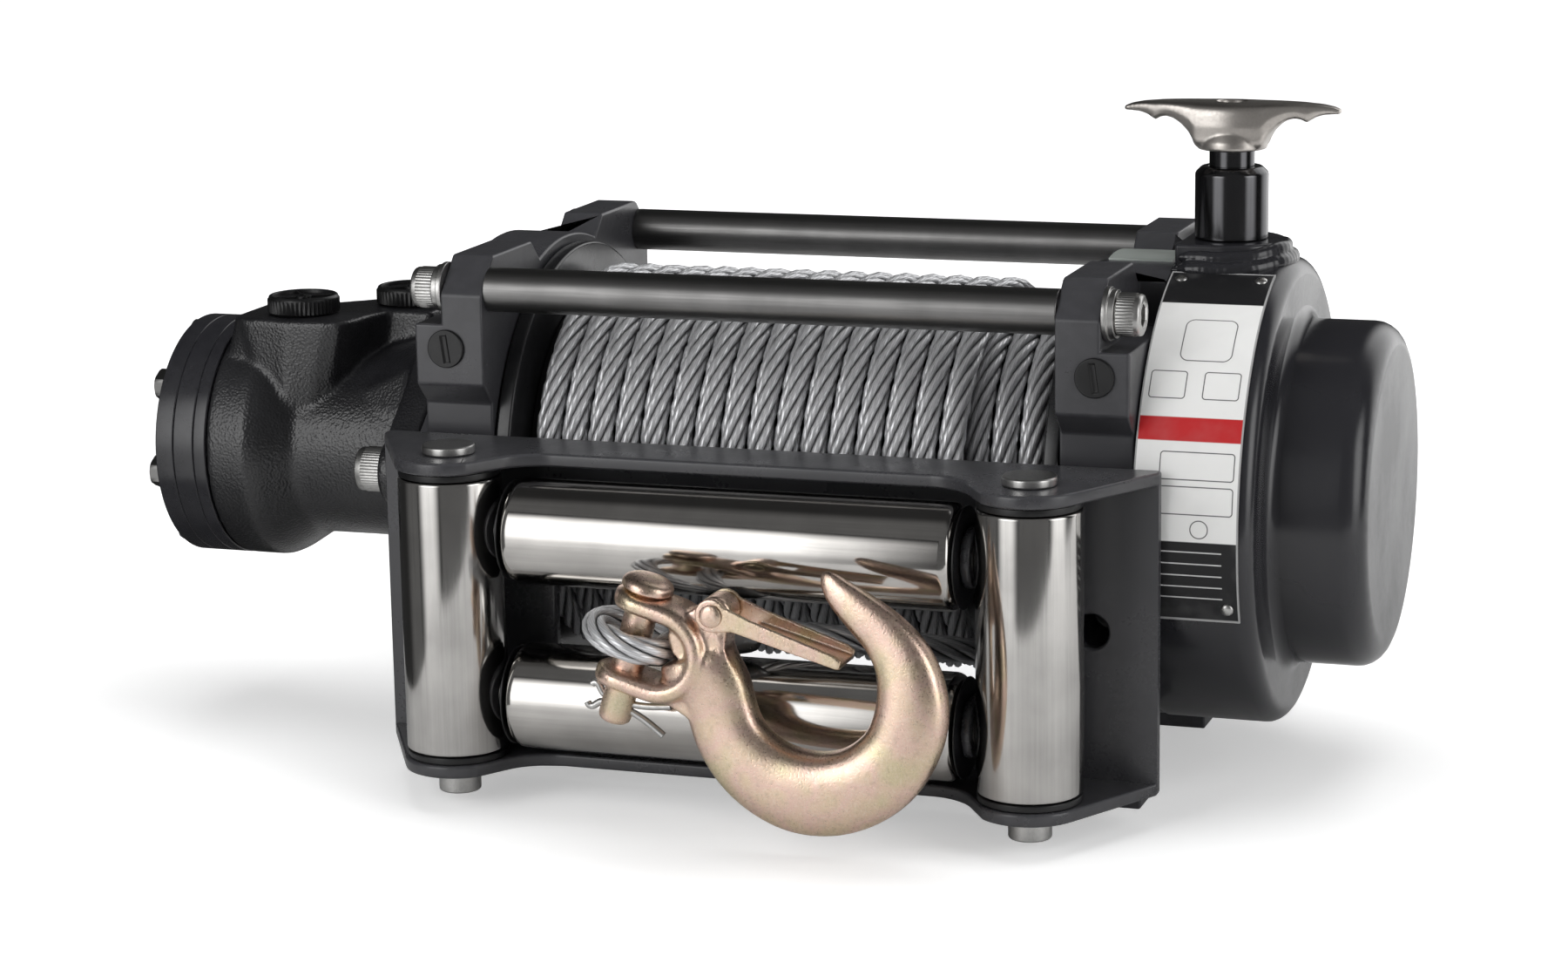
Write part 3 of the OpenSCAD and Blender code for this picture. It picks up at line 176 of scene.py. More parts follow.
class Paint(Net):
    """A material under construction."""

    def __init__(self, name, **constants):
        self.material = bpy.data.materials.new(name)
        self.material.use_nodes = True
        super().__init__(self.material.node_tree)
        self.shader = self.tree.nodes["Principled BSDF"]
        self.place = self.node("TexCoord", output="Object")
        self.feed(**constants)

    def feed(self, **inputs):
        for key, value in inputs.items():
            self.plug(self.shader.inputs[key.replace("_", " ")], value)
        return self

    def noise(self, size_mm, detail=3.0, roughness=0.5, at=None):
        """Cloudy values from about 0.3 to 0.7, with blobs of this size."""
        return self.node("TexNoise", inputs={"Vector": at or self.place, "Scale": 1000 / size_mm,
                                             "Detail": detail, "Roughness": roughness})

    def mix(self, factor, a, b):
        return self.node("Mix", {"data_type": "RGBA"}, {0: factor, 6: a, 7: b}, 2)

    def stretched(self, x, y, z):
        """The object's coordinates, drawn out along an axis where its number is small."""
        return self.node("Mapping", inputs={"Vector": self.place, "Scale": (x, y, z)})

    def uv(self):
        """Across and along the piece's own UV map."""
        return self.axes(self.node("UVMap", {"uv_map": "UVMap"}))[:2]

    def bump(self, height, depth_mm, under=None):
        inputs = {"Height": height, "Distance": depth_mm * MM, "Strength": 1.0}
        if under:
            inputs["Normal"] = under
        return self.node("Bump", inputs=inputs)

    def edges(self):
        """A mask of sharp outer edges, in patches, where a painted highlight goes."""
        pointed = self.node("NewGeometry", output="Pointiness")
        return self.between(pointed, 0.52, 0.6) * self.between(self.noise(4, 4), 0.4, 0.6)


def times(colour, share, more=0.0):
    """A colour made darker or paler."""
    return tuple(min(1.0, c * share + more) for c in colour)


print("shader tools ready")

# %% [markdown]
# ## The finishes
# Painted castings carry a fine orange-peel over the grain of the sand mould. Bare metals differ
# mostly in roughness: a knurled screw, a polished roller and a forged hook reflect the same room in
# very different ways. Each finish gets at least two scales of pattern, one that is seen from across
# the room and one that is only felt close by.

# %% Painted and cast finishes
def enamel(name, colour, grain_mm, grain_depth, rough):
    """Dark machinery enamel over a casting."""
    paint = Paint(name, Specular_IOR_Level=0.5, Coat_Roughness=0.25, Coat_Weight=0.15)
    clouds = paint.noise(38, 3)
    grain = paint.noise(grain_mm, 4, 0.55)
    orange_peel = paint.noise(grain_mm * 5, 2)
    tone = paint.mix(paint.between(clouds, 0.3, 0.7), colour, times(colour, 0.82))
    # painted highlight: the colour is lighter in patches along sharp outer edges
    tone = paint.mix(paint.edges() * 0.35, tone, times(colour, 1.9, 0.01))
    paint.feed(Base_Color=tone,
               Roughness=paint.between(clouds + grain * 0.3, 0.4, 0.8, rough - 0.07, rough + 0.09),
               Normal=paint.bump(orange_peel, grain_depth * 1.6, paint.bump(grain, grain_depth)))
    return paint.material


def cast_black():
    """Black paint on rough sand-cast iron, with the leathery grain of the mould."""
    paint = Paint("cast black", Specular_IOR_Level=0.75)
    lumps = paint.node("TexVoronoi", {"feature": "SMOOTH_F1"},
                       {"Vector": paint.place, "Scale": 1050.0, "Smoothness": 1.0})
    grain = paint.noise(0.9, 3, 0.55)
    clouds = paint.noise(30, 3)
    dark, pale, edge_highlight = (0.006, 0.006, 0.007), (0.012, 0.012, 0.0135), (0.07, 0.07, 0.075)
    tone = paint.mix(paint.between(clouds, 0.35, 0.7), dark, pale)
    # painted highlight: a lighter colour in patches along sharp outer edges
    paint.feed(Base_Color=paint.mix(paint.edges() * 0.5, tone, edge_highlight),
               Roughness=paint.between(clouds, 0.3, 0.7, 0.25, 0.34),
               Normal=paint.bump(lumps, 0.2, paint.bump(grain, 0.09)))
    return paint.material


grey_paint = enamel("grey enamel", (0.037, 0.037, 0.041), 1.1, 0.03, 0.33)
smooth_paint = enamel("smooth enamel", (0.018, 0.018, 0.021), 2.2, 0.010, 0.17)
plate_paint = enamel("plate enamel", (0.040, 0.040, 0.044), 1.6, 0.02, 0.27)
dark_paint = enamel("drum enamel", (0.008, 0.008, 0.009), 1.8, 0.02, 0.25)
cast_paint = cast_black()
print("painted finishes: 5")

# %% [markdown]
# ## Bare metals and plastics
# Screws, rollers, pins and gears are bare steel. What sets them apart is how rough they are and which
# way their tool marks run, so one function makes them all. The hook's yellow zinc is a thin film
# whose colour follows its thickness: a slow noise picks it from a row of colours.

# %% Metal finishes
def metal(name, colour, rough, streak=None, grain_mm=0.9, depth=0.01, spread=0.08, tint=None):
    """Bare metal with fine grain, and drawn or turned streaks where streak gives their direction."""
    paint = Paint(name, Metallic=1.0)
    lines = paint.noise(grain_mm, 4, 0.6, paint.stretched(*streak) if streak else None)
    clouds = paint.noise(24, 3)
    tone = paint.mix(paint.between(clouds + (lines - 0.5) * 0.6, 0.35, 0.7), colour,
                     tint or times(colour, 0.8))
    paint.feed(Base_Color=tone, Normal=paint.bump(lines, depth),
               Roughness=paint.between(lines + clouds * 0.5, 0.5, 1.0, max(0.04, rough - spread),
                                       rough + spread))
    return paint.material


def zinc():
    """Yellow passivated zinc on a forging: a thin film that drifts from gold to pink and green."""
    paint = Paint("yellow zinc", Metallic=1.0)
    drift = paint.noise(16, 2, 0.4)
    film = paint.node("ValToRGB", {"stops": [(0.30, (0.78, 0.66, 0.44)), (0.42, (0.86, 0.65, 0.50)),
                                             (0.52, (0.88, 0.63, 0.53)), (0.62, (0.85, 0.66, 0.48)),
                                             (0.74, (0.76, 0.67, 0.46))]}, {"Fac": drift})
    speck = paint.noise(0.8, 3, 0.6)
    tone = paint.mix(paint.between(speck, 0.5, 0.68, 0.0, 0.5), film, (0.97, 0.84, 0.72))
    tone = paint.mix(paint.between(paint.noise(2.4, 3), 0.54, 0.7, 0.0, 0.2), tone, (0.36, 0.29, 0.19))
    paint.feed(Base_Color=tone, Roughness=paint.between(speck, 0.35, 0.7, 0.26, 0.40),
               Normal=paint.bump(speck, 0.11))
    return paint.material


def moulded(name, colour, rough):
    """Plastic or rubber with a fine spark-eroded grain."""
    paint = Paint(name, Specular_IOR_Level=0.5)
    grain = paint.noise(0.8, 3)
    tone = paint.mix(paint.between(paint.noise(9), 0.35, 0.7), colour, times(colour, 1.5, 0.002))
    paint.feed(Base_Color=tone, Roughness=paint.between(grain, 0.3, 0.7, rough - 0.06, rough + 0.08),
               Normal=paint.bump(grain, 0.015))
    return paint.material


ALONG_X, ALONG_Z = (0.02, 1, 1), (1, 1, 0.02)
rod_steel = metal("blackened rod steel", (0.25, 0.247, 0.243), 0.38, ALONG_X, 0.7, 0.004, 0.05)
ground_steel = metal("ground steel", (0.55, 0.55, 0.56), 0.22, ALONG_X, 0.5)
machined_steel = metal("machined steel", (0.38, 0.38, 0.39), 0.34)
screw_steel = metal("bright screw steel", (0.62, 0.615, 0.60), 0.34, None, 1.2, 0.012)
polish_upright = metal("polished steel, upright", (0.60, 0.585, 0.565), 0.13, ALONG_Z, 1.6, 0.0015, 0.04)
polish_level = metal("polished steel, level", (0.62, 0.60, 0.575), 0.11, ALONG_X, 1.6, 0.001, 0.02)
dark_chrome = metal("dark chrome", (0.105, 0.105, 0.11), 0.16, ALONG_Z, 0.9, 0.003, 0.05)
cast_handle = metal("satin cast handle", (0.66, 0.62, 0.58), 0.37, None, 1.0, 0.03, 0.05, (0.55, 0.515, 0.48))
ferrule_steel = metal("pressed sleeve steel", (0.16, 0.165, 0.17), 0.3, None, 1.4, 0.01)
yellow_zinc = zinc()
bronze = metal("bearing bronze", (0.52, 0.36, 0.17), 0.3)
black_plastic = moulded("black plastic", (0.003, 0.003, 0.0033), 0.38)
seal_rubber = moulded("seal rubber", (0.01, 0.01, 0.01), 0.55)
print("metal and plastic finishes: 13")

# %% [markdown]
# ## Wire rope
# Each strand is a bundle of thin wires laid the other way round, so that the wires on the outside
# run along the rope. The strand's own UV map counts turns round it and lays along it, and a sum of
# the two draws the wires as small round ridges, with painted shade in the grooves between them. Where
# a strand turns in to its neighbours its colour is painted nearly black as shade, and that is what makes the
# strands stand out.

# %% Rope finish
WIRES = 13


def wire_rope(name, bright, groove_shade):
    """Ridges of bright wire, with painted shade between the wires and where a strand turns in."""
    paint = Paint(name, Metallic=0.8)
    across, along = paint.uv()
    offset = (paint.maths("FRACT", (across + along) * WIRES) - 0.5) * 2
    ridge = paint.maths("SQRT", paint.maths("MAXIMUM", 1 - offset * offset, 0.0))
    dirt = paint.noise(7, 3)
    outwards = paint.maths("COSINE", across * (2 * math.pi))
    # painted shade: the colour is darker in the grooves between the wire ridges
    tone = paint.mix(paint.between(ridge, 0.1, 0.7, 0.35, 1.0), groove_shade, bright)
    tone = paint.mix(paint.between(dirt, 0.5, 0.75, 0.0, 0.25), tone, times(bright, 0.6))
    # painted shade: nearly black on the side of a strand that turns in to its neighbours
    tone = paint.mix(paint.between(outwards, -0.3, 0.55), times(groove_shade, 0.5), tone)
    paint.feed(Base_Color=tone, Roughness=paint.between(ridge + dirt * 0.4, 0.3, 1.2, 0.52, 0.42),
               Normal=paint.bump(ridge, 0.07))
    return paint.material


rope_steel = wire_rope("bright wire rope", (0.78, 0.785, 0.80), (0.13, 0.13, 0.135))
shaded_rope = metal("shaded rope", (0.16, 0.16, 0.165), 0.4)
print("rope finishes: 2")

# %% [markdown]
# ## Rounding what the frame already has
# Machined and cast parts keep the frame's shape, but no real edge is a perfect corner. A copy of the
# part is welded, its flat faces are joined, and every sharp edge gets a narrow round. The weighted
# normals at the end keep the big faces flat between the rounds.

# %% Tools for pieces
def finish(bm, name, body, paint, replaces=(), sharp=35.0, even=False):
    """Turns millimetres into metres, shades the mesh and lets it ride on its body."""
    bmesh.ops.scale(bm, vec=(MM, MM, MM), verts=bm.verts)
    mesh = mesh_of(bm, name)
    mesh.polygons.foreach_set("use_smooth", [True] * len(mesh.polygons))
    mesh.set_sharp_from_angle(angle=math.radians(sharp))
    mesh.materials.append(paint)
    piece = placed(name, mesh)
    if even:
        piece.modifiers.new("even shading", "WEIGHTED_NORMAL").keep_sharp = True
    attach(piece, body)
    if replaces:
        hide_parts(*replaces)
    print(f"{name}: {sum(len(p.vertices) - 2 for p in mesh.polygons)} triangles")
    return piece


def dress(bm, node, body, paint, sharp=35.0, even=False):
    """Finishes the piece that takes the place of one frame part."""
    return finish(bm, node + "_dressed", body, paint, [node], sharp, even)


def copy_of(node):
    """The welded mesh of a frame part, in millimetres, with its flat faces joined."""
    bm = bmesh.new()
    bm.from_mesh(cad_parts[node].data)
    bmesh.ops.scale(bm, vec=(1 / MM,) * 3, verts=bm.verts)
    bmesh.ops.remove_doubles(bm, verts=bm.verts, dist=0.002)
    bmesh.ops.dissolve_degenerate(bm, edges=bm.edges, dist=0.001)
    bmesh.ops.dissolve_limit(bm, angle_limit=math.radians(0.6), verts=bm.verts, edges=bm.edges)
    return bm


def corner_edges(bm):
    return [e for e in bm.edges if len(e.link_faces) == 2 and e.calc_face_angle(0) > math.radians(32)]


def rounded(bm, edges, width, segments=2):
    bmesh.ops.bevel(bm, geom=edges, offset=width, offset_type="OFFSET", affect="EDGES",
                    segments=segments, profile=0.5, material=-1, clamp_overlap=False, loop_slide=True)
    return bm


def softened(node, width, body, paint, segments=2):
    bm = copy_of(node)
    return dress(rounded(bm, corner_edges(bm), width, segments), node, body, paint, even=True)


print("tools for pieces ready")

# %% [markdown]
# ## Castings and plates
# The supports and the gearbox are castings, the fairlead is bent plate. They keep the frame's mesh
# with softer edges, which costs few triangles and keeps every hole where it was. The fairlead's
# waist is widened a little and gets large corners first. The slotted plugs are turned to the side.

# %% Castings and plates
PLUG_TURN = 62
softened("motor_support", 1.1, "frame", grey_paint)
softened("gear_support", 1.1, "frame", grey_paint)
WAIST_X, WAIST_GROWS, WAIST_Y = 71, 13, -118
plates = copy_of("fairlead_frame")
for v in plates.verts:
    if abs(abs(v.co.x) - WAIST_X) < 0.5 and abs(v.co.y - WAIST_Y) < 0.5:
        v.co.x += math.copysign(WAIST_GROWS, v.co.x)
upright = [e for e in plates.edges if len(e.link_faces) == 2
           and abs(e.verts[0].co.z - e.verts[1].co.z) > 4.5
           and abs(abs(e.verts[0].co.x) - WAIST_X - WAIST_GROWS) < 0.5
           and abs(e.verts[0].co.y - WAIST_Y) < 0.5]
rounded(plates, upright, 11, 8)
rounded(plates, corner_edges(plates), 1.1)
dress(plates, "fairlead_frame", "frame", plate_paint, even=True)
print("waist corners rounded:", len(upright))
softened("gear_housing", 1.2, "frame", smooth_paint)
softened("drum", 1.0, "drum", dark_paint)
for turned_ring in ("motor_end_cover", "gerotor_ring", "spacer_plate"):
    softened(turned_ring, 0.6, "frame", smooth_paint)
softened("tie_rods", 0.4, "frame", rod_steel)
softened("tie_rod_washers", 0.35, "frame", screw_steel)
plugs = copy_of("mount_plugs")
for sign in (-1, 1):
    near = [v for v in plugs.verts if v.co.x * sign > 0]
    middle = (min(v.co.x for v in near) + max(v.co.x for v in near)) / 2
    height = (min(v.co.z for v in near) + max(v.co.z for v in near)) / 2
    bmesh.ops.rotate(plugs, cent=(middle, 0, height), verts=near,
                     matrix=Matrix.Rotation(math.radians(PLUG_TURN), 3, "Y"))
rounded(plugs, corner_edges(plugs), 0.5)
dress(plugs, "mount_plugs", "frame", black_plastic, even=True)
softened("roller_bushes", 0.5, "frame", black_plastic)
softened("roller_pins", 0.8, "frame", screw_steel, 3)
softened("clutch_sleeve", 0.7, "frame", dark_chrome)
softened("clutch_plunger", 0.4, "clutch_plunger", dark_chrome)

# %% [markdown]
# ## Turned parts, knurls and hexagons
# A lathe turns a profile; here a ring of vertices is extruded from station to station, and each
# station says how high it lies and how wide it is. Where the width is a function of the angle, the
# same tool cuts a knurl or a hexagon.

# %% The lathe
def turned(stations, segments=64, tube=False):
    """Extrudes a ring through (height, radius) stations; a tube joins its last ring to its first."""
    bm = bmesh.new()

    def put(verts, height, radius):
        for v in verts:
            a = math.atan2(v.co.y, v.co.x)
            r = radius(a) if callable(radius) else radius
            v.co = (r * math.cos(a), r * math.sin(a), height)

    bmesh.ops.create_circle(bm, cap_ends=not tube, segments=segments, radius=1)
    first = edges = bm.edges[:]
    put(bm.verts, *stations[0])
    for station in stations[1:]:
        grown = bmesh.ops.extrude_edge_only(bm, edges=edges)["geom"]
        verts = {g for g in grown if isinstance(g, bmesh.types.BMVert)}
        edges = [g for g in grown if isinstance(g, bmesh.types.BMEdge) and set(g.verts) <= verts]
        put(verts, *station)
    if tube:
        bmesh.ops.bridge_loops(bm, edges=first + edges)
    else:
        bmesh.ops.contextual_create(bm, geom=edges)
    return bm


def hexagon(flat):
    """The radius of a hexagon whose flats lie this far from its centre."""
    return lambda a: flat / math.cos(a % (math.pi / 3) - math.pi / 6)


def knurl(radius, teeth, depth):
    return lambda a: radius - depth * (0.5 - 0.5 * math.cos(teeth * a))


def add(target, shape, matrix=Matrix()):
    """Puts a placed copy of one shape into another."""
    mesh = mesh_of(shape, "passing through")
    mesh.transform(matrix)
    if matrix.determinant() < 0:
        mesh.flip_normals()
    target.from_mesh(mesh)
    bpy.data.meshes.remove(mesh)


def gathered(*shapes):
    """One mesh out of pairs of a shape and its place."""
    bm = bmesh.new()
    for shape, matrix in shapes:
        add(bm, shape, matrix)
    return bm


def outward(x, y, z, axis="X", sign=1):
    """Stands a turned shape at a place, its height along X or Z."""
    turn = {"X": Matrix.Rotation(math.radians(90 * sign), 4, "Y"),
            "Z": Matrix.Rotation(0 if sign > 0 else math.pi, 4, "X")}[axis]
    return Matrix.Translation((x, y, z)) @ turn


def clean(bm):
    bmesh.ops.recalc_face_normals(bm, faces=bm.faces)
    return bm


print("lathe ready")

# %% [markdown]
# ## Screws
# The socket heads are bright, knurled over most of their height, with a plain rounded top and a
# deep hexagon. The motor's end cover is held by seven hexagon bolts with a turned washer face.

# %% Screw heads
def socket_head(r, height, key, key_depth, shank_r, shank, teeth=44):
    cut = hexagon(key * math.cos(math.pi / 6))
    ridges = knurl(r, teeth, 0.42)
    band = height * 0.72
    return clean(turned([
        (-shank, shank_r - 0.6), (0.6 - shank, shank_r), (0, shank_r), (0, r - 0.7), (0.5, r - 0.25),
        (0.7, ridges), (band, ridges), (band + 0.3, r - 0.3), (height - 1.2, r - 0.25),
        (height - 0.45, r - 0.6), (height, r - 1.5), (height, lambda a: cut(a) + 0.5),
        (height - 0.5, cut), (height - key_depth, cut), (height - key_depth, 0.4)], teeth * 2))


def hex_head(flat, height, shank_r, shank):
    corner, round_rim = hexagon(flat), flat * 1.07
    eased = lambda a: min(corner(a), round_rim)
    return clean(turned([
        (-shank, shank_r), (0, shank_r), (0, flat * 0.97), (0.5, flat * 0.97), (0.5, eased),
        (0.95, corner), (height - 1.2, corner), (height - 0.5, eased), (height, flat * 0.9)], 60))


ROD_Y, ROD_Z, ROD_SCREW_X = 80, AXIS_H + 79, 129 + 4.3
EARS_APART, BOLT_CIRCLE = 53.2, 40.5
head = socket_head(8, 9.5, 4.6, 5, 4.95, 41.3)
dress(gathered(*((head, outward(end * ROD_SCREW_X, side * ROD_Y, ROD_Z, "X", end))
                 for end in (-1, 1) for side in (-1, 1))),
      "tie_rod_screws", "frame", screw_steel, 40)
head = socket_head(9, 12, 5.8, 6, 6, 26.7, 50)
dress(gathered(*((head, outward(-170, side * EARS_APART, AXIS_H, "X", -1)) for side in (-1, 1))),
      "motor_flange_screws", "frame", screw_steel, 40)
head = hex_head(5.97, 5.5, 4, 34.5)
round_cover = [(BOLT_CIRCLE * math.cos(a), AXIS_H + BOLT_CIRCLE * math.sin(a))
               for a in (math.radians(90 + 360 * k / 7) for k in range(7))]
dress(gathered(*((head, outward(-276, y, z, "X", -1)) for y, z in round_cover)),
      "motor_end_bolts", "frame", rod_steel, 30)
head = socket_head(5, 5, 2.9, 3, 2.95, 12.8, 30)
dress(gathered((head, outward(CLUTCH_X, 0, AXIS_H + 147.8 - 6.2, "Z"))),
      "handle_screw", "clutch_handle", rod_steel, 40)

# %% [markdown]
# ## Port caps
# The two oil ports are closed by black transport caps: a knurled rim, and a sunk top with thin
# spokes that run to a small hub.

# %% Port caps
def port_cap(turn):
    """A cap, its spokes turned by this angle."""
    rim = knurl(14.7, 52, 0.55)
    cap = clean(turned([(-13.7, 10.8), (-0.2, 10.95), (0, 10.95), (0, 13.7), (0.9, rim), (5.9, rim),
                        (6.6, 14.2), (7.2, 14.0), (7.5, 13.6), (7.5, 12.7), (7.2, 12.4), (6.0, 12.2),
                        (6.0, 0.4)], 104))
    hub = turned([(5.5, 3.4), (6.9, 3.2), (7.1, 2.9), (7.1, hexagon(1.6)), (6.4, hexagon(1.6)),
                  (6.4, 0.2)], 48)
    for k in range(4):
        spoke = bmesh.new()
        bmesh.ops.create_cube(spoke, size=1)
        bmesh.ops.scale(spoke, vec=(10.2, 0.9, 1.4), verts=spoke.verts)
        rounded(spoke, spoke.edges[:], 0.25)
        bmesh.ops.translate(spoke, vec=(7.6, 0, 6.3), verts=spoke.verts)
        add(cap, spoke, Matrix.Rotation(math.radians(turn + 90 * k), 4, "Z"))
    add(cap, clean(hub))
    return cap


PORTS = ((-223, -15), (-189, 17))
dress(gathered(*((port_cap(turn), outward(x, y, AXIS_H + 55, "Z"))
                 for (x, y), turn in zip(PORTS, (38, 25)))),
      "port_caps", "frame", black_plastic)

# %% [markdown]
# ## Rollers
# Four polished steel tubes. The level ones have well rounded ends; the upright ones only lost
# their burr. They stay tubes, so that the black bushes show in their ends.

# %% Rollers
def roller(r, length, ease, bore=14.0):
    quarter = [(length / 2 - ease * (1 - math.sin(t)), r - ease * (1 - math.cos(t)))
               for t in (math.radians(15 * k) for k in range(7))]
    far = [(0, r), *quarter, (length / 2, bore + 0.6), (length / 2 - 0.6, bore)]
    near = [(-z, s) for z, s in reversed(far[1:])]
    return clean(turned(near + far, 96, tube=True))


WINDOW_Z = AXIS_H - 36
for name, x in (("roller_left", -112), ("roller_right", 112)):
    dress(gathered((roller(19.5, 105, 1.2), outward(x, -125, WINDOW_Z, "Z"))),
          name, name, polish_upright, 30)
for name, z in (("roller_upper", 31.75), ("roller_lower", -31.75)):
    dress(gathered((roller(20, 174, 4.5), outward(0, -122, WINDOW_Z + z, "X"))),
          name, name, polish_level, 30)

# %% [markdown]
# ## The rope, strand by strand
# A rope of this kind is six strands laid round a core. A flat grid is rolled along each strand's
# own spiral: one side of the grid runs along it, the other goes round it. The UV map counts lays
# along and turns round, which is all that the rope's finish needs.

# %% Strands
ROPE_R = 5.15
STRAND_R = 1.75
STRAND_AT = ROPE_R - STRAND_R
LAY = 66.0
WIRE_LAY = 34.0


def rolled(bm, along, around, place):
    """A grid of along x around cells whose points place(i, j) puts; it is welded into a closed tube."""
    verts = bmesh.ops.create_grid(bm, x_segments=along, y_segments=around, size=0.5, calc_uvs=True)["verts"]
    rims = [], []
    for v in verts:
        i, j = round((v.co.x + 0.5) * along), round((v.co.y + 0.5) * around)
        v.co = place(i, j % around)
        if i in (0, along) and j < around:
            rims[i > 0].append(v)
    bmesh.ops.remove_doubles(bm, verts=verts, dist=1e-5)
    for rim in rims:
        ends = {e for v in rim if v.is_valid for e in v.link_edges if e.is_boundary}
        if ends:
            bmesh.ops.contextual_create(bm, geom=list(ends))


def smooth_path(points, step):
    """Points at an even step along a smooth curve through the given ones."""
    p = np.array(points, float)
    d = np.r_[0, np.cumsum(np.linalg.norm(np.diff(p, axis=0), axis=1))]
    slope = np.gradient(p, d, axis=0)
    s = np.linspace(0, d[-1], max(2, int(round(d[-1] / step)) + 1))
    k = np.clip(np.searchsorted(d, s, side="right") - 1, 0, len(p) - 2)
    h = (d[k + 1] - d[k])[:, None]
    t = ((s - d[k]) / (d[k + 1] - d[k]))[:, None]
    return ((2 * t ** 3 - 3 * t ** 2 + 1) * p[k] + (t ** 3 - 2 * t ** 2 + t) * h * slope[k]
            + (3 * t ** 2 - 2 * t ** 3) * p[k + 1] + (t ** 3 - t ** 2) * h * slope[k + 1])


def running_frame(path):
    """Direction, side and up of a path, carried along without twisting, and its length so far."""
    ahead = np.gradient(path, axis=0)
    ahead /= np.linalg.norm(ahead, axis=1)[:, None]
    side = np.zeros_like(path)
    start = np.cross(ahead[0], (1, 0, 0) if abs(ahead[0][0]) < 0.9 else (0, 0, 1))
    side[0] = start / np.linalg.norm(start)
    for i in range(1, len(path)):
        turned_side = side[i - 1] - ahead[i] * (side[i - 1] @ ahead[i])
        side[i] = turned_side / np.linalg.norm(turned_side)
    run = np.r_[0, np.cumsum(np.linalg.norm(np.diff(path, axis=0), axis=1))]
    return ahead, side, np.cross(ahead, side), run


def laid_rope(bm, path, sides):
    """Six strands round a path; gives the rope's length."""
    ahead, side, over, run = running_frame(path)
    for strand in range(6):
        turn = 2 * np.pi * (run / LAY + strand / 6)
        out = np.cos(turn)[:, None] * side + np.sin(turn)[:, None] * over
        across = np.cross(ahead, out)
        middle = path + STRAND_AT * out
        around = 2 * np.pi * np.arange(sides) / sides
        rings = (middle[:, None] + STRAND_R * (np.cos(around)[None, :, None] * out[:, None]
                                              + 1.05 * np.sin(around)[None, :, None] * across[:, None]))
        rolled(bm, len(path) - 1, sides, lambda i, j: rings[i, j])
    return run[-1]


def count_lays(piece, length):
    """Stretches the UV map from 0..1 along the rope to lays of its wires."""
    layer = piece.data.uv_layers["UVMap"].uv
    uv = np.zeros(len(layer) * 2, np.float32)
    layer.foreach_get("vector", uv)
    uv = uv.reshape(-1, 2)[:, ::-1].copy()
    uv[:, 1] *= length / WIRE_LAY
    layer.foreach_set("vector", uv.ravel())


def rope_piece(name, path, body, replaced, sides=8):
    """A stretch of rope along a path, and its length."""
    bm = bmesh.new()
    bm.loops.layers.uv.new("UVMap")
    length = laid_rope(bm, path, sides)
    piece = finish(bm, name, body, rope_steel, [replaced], 80)
    count_lays(piece, length)
    return piece, length


print(f"six strands of {2 * STRAND_R} mm make a rope of {2 * ROPE_R} mm")

# %% [markdown]
# ## Rope on the drum
# The outer layer starts at the motor's flange and stops short of the other one, where three turns of
# the layer below show. Both are true spirals, and each turn lies one pitch from the next.

# %% Wound layers
PITCH = 10.75
OUTER_AT = 99.85
PER_TURN = 76
STEP_X = 61.9


def layer(turns, tail, r, start, hand):
    """Points of a wound layer, with its straight ends."""
    k = np.arange(int(turns * PER_TURN) + 1)
    a = np.radians(tail) + 2 * np.pi * (turns - k / PER_TURN)
    x = start + hand * PITCH * k / PER_TURN
    wound = np.stack([x, r * np.cos(a), r * np.sin(a)], 1)
    away = np.stack([0 * a, np.sin(a), -np.cos(a)], 1)
    ends = np.array([[2 * ROPE_R], [ROPE_R]])
    path = np.concatenate([wound[0] - ends * away[0], wound, wound[-1] + ends[::-1] * away[-1]])
    return path + (0, 0, AXIS_H)


def buried(x0, x1, r):
    """What shows between the turns: the crowns of the layer beneath, as a ridged sleeve."""
    steps = int((x1 - x0) / PITCH * 6)
    ridges = [(x0 + (x1 - x0) * k / steps, r - 1.6 * abs(math.cos(math.pi * k / 6)))
              for k in range(steps + 1)]
    return clean(turned([(x0, 39.2), *ridges, (x1, 39.2)], 72)), outward(0, 0, AXIS_H, "X")


outer_path = layer(16.25, 252.5, 71.85, -OUTER_AT, 1)
lower_path = layer(3, 330, 59.75, OUTER_AT, -1)
outer_run = rope_piece("rope_outer_layer", outer_path, "drum", "rope_winding")[1]
lower_run = rope_piece("rope_lower_layer", lower_path, "drum", "rope_winding")[1]
finish(gathered(buried(-104.9, STEP_X, 65.4), buried(STEP_X, 104.9, 53.5)), "rope_inner_layers", "drum",
       shaded_rope, ["rope_core"], 80)
print(f"rope on the drum: {outer_run / 1000:.2f} m outside, {lower_run / 1000:.2f} m below it")

# %% [markdown]
# ## The free end of the rope
# From the drum the rope runs forward between the rollers, round the clevis pin in an eye, and back
# into a pressed sleeve. It is stiff steel rope, so its bends stay round.

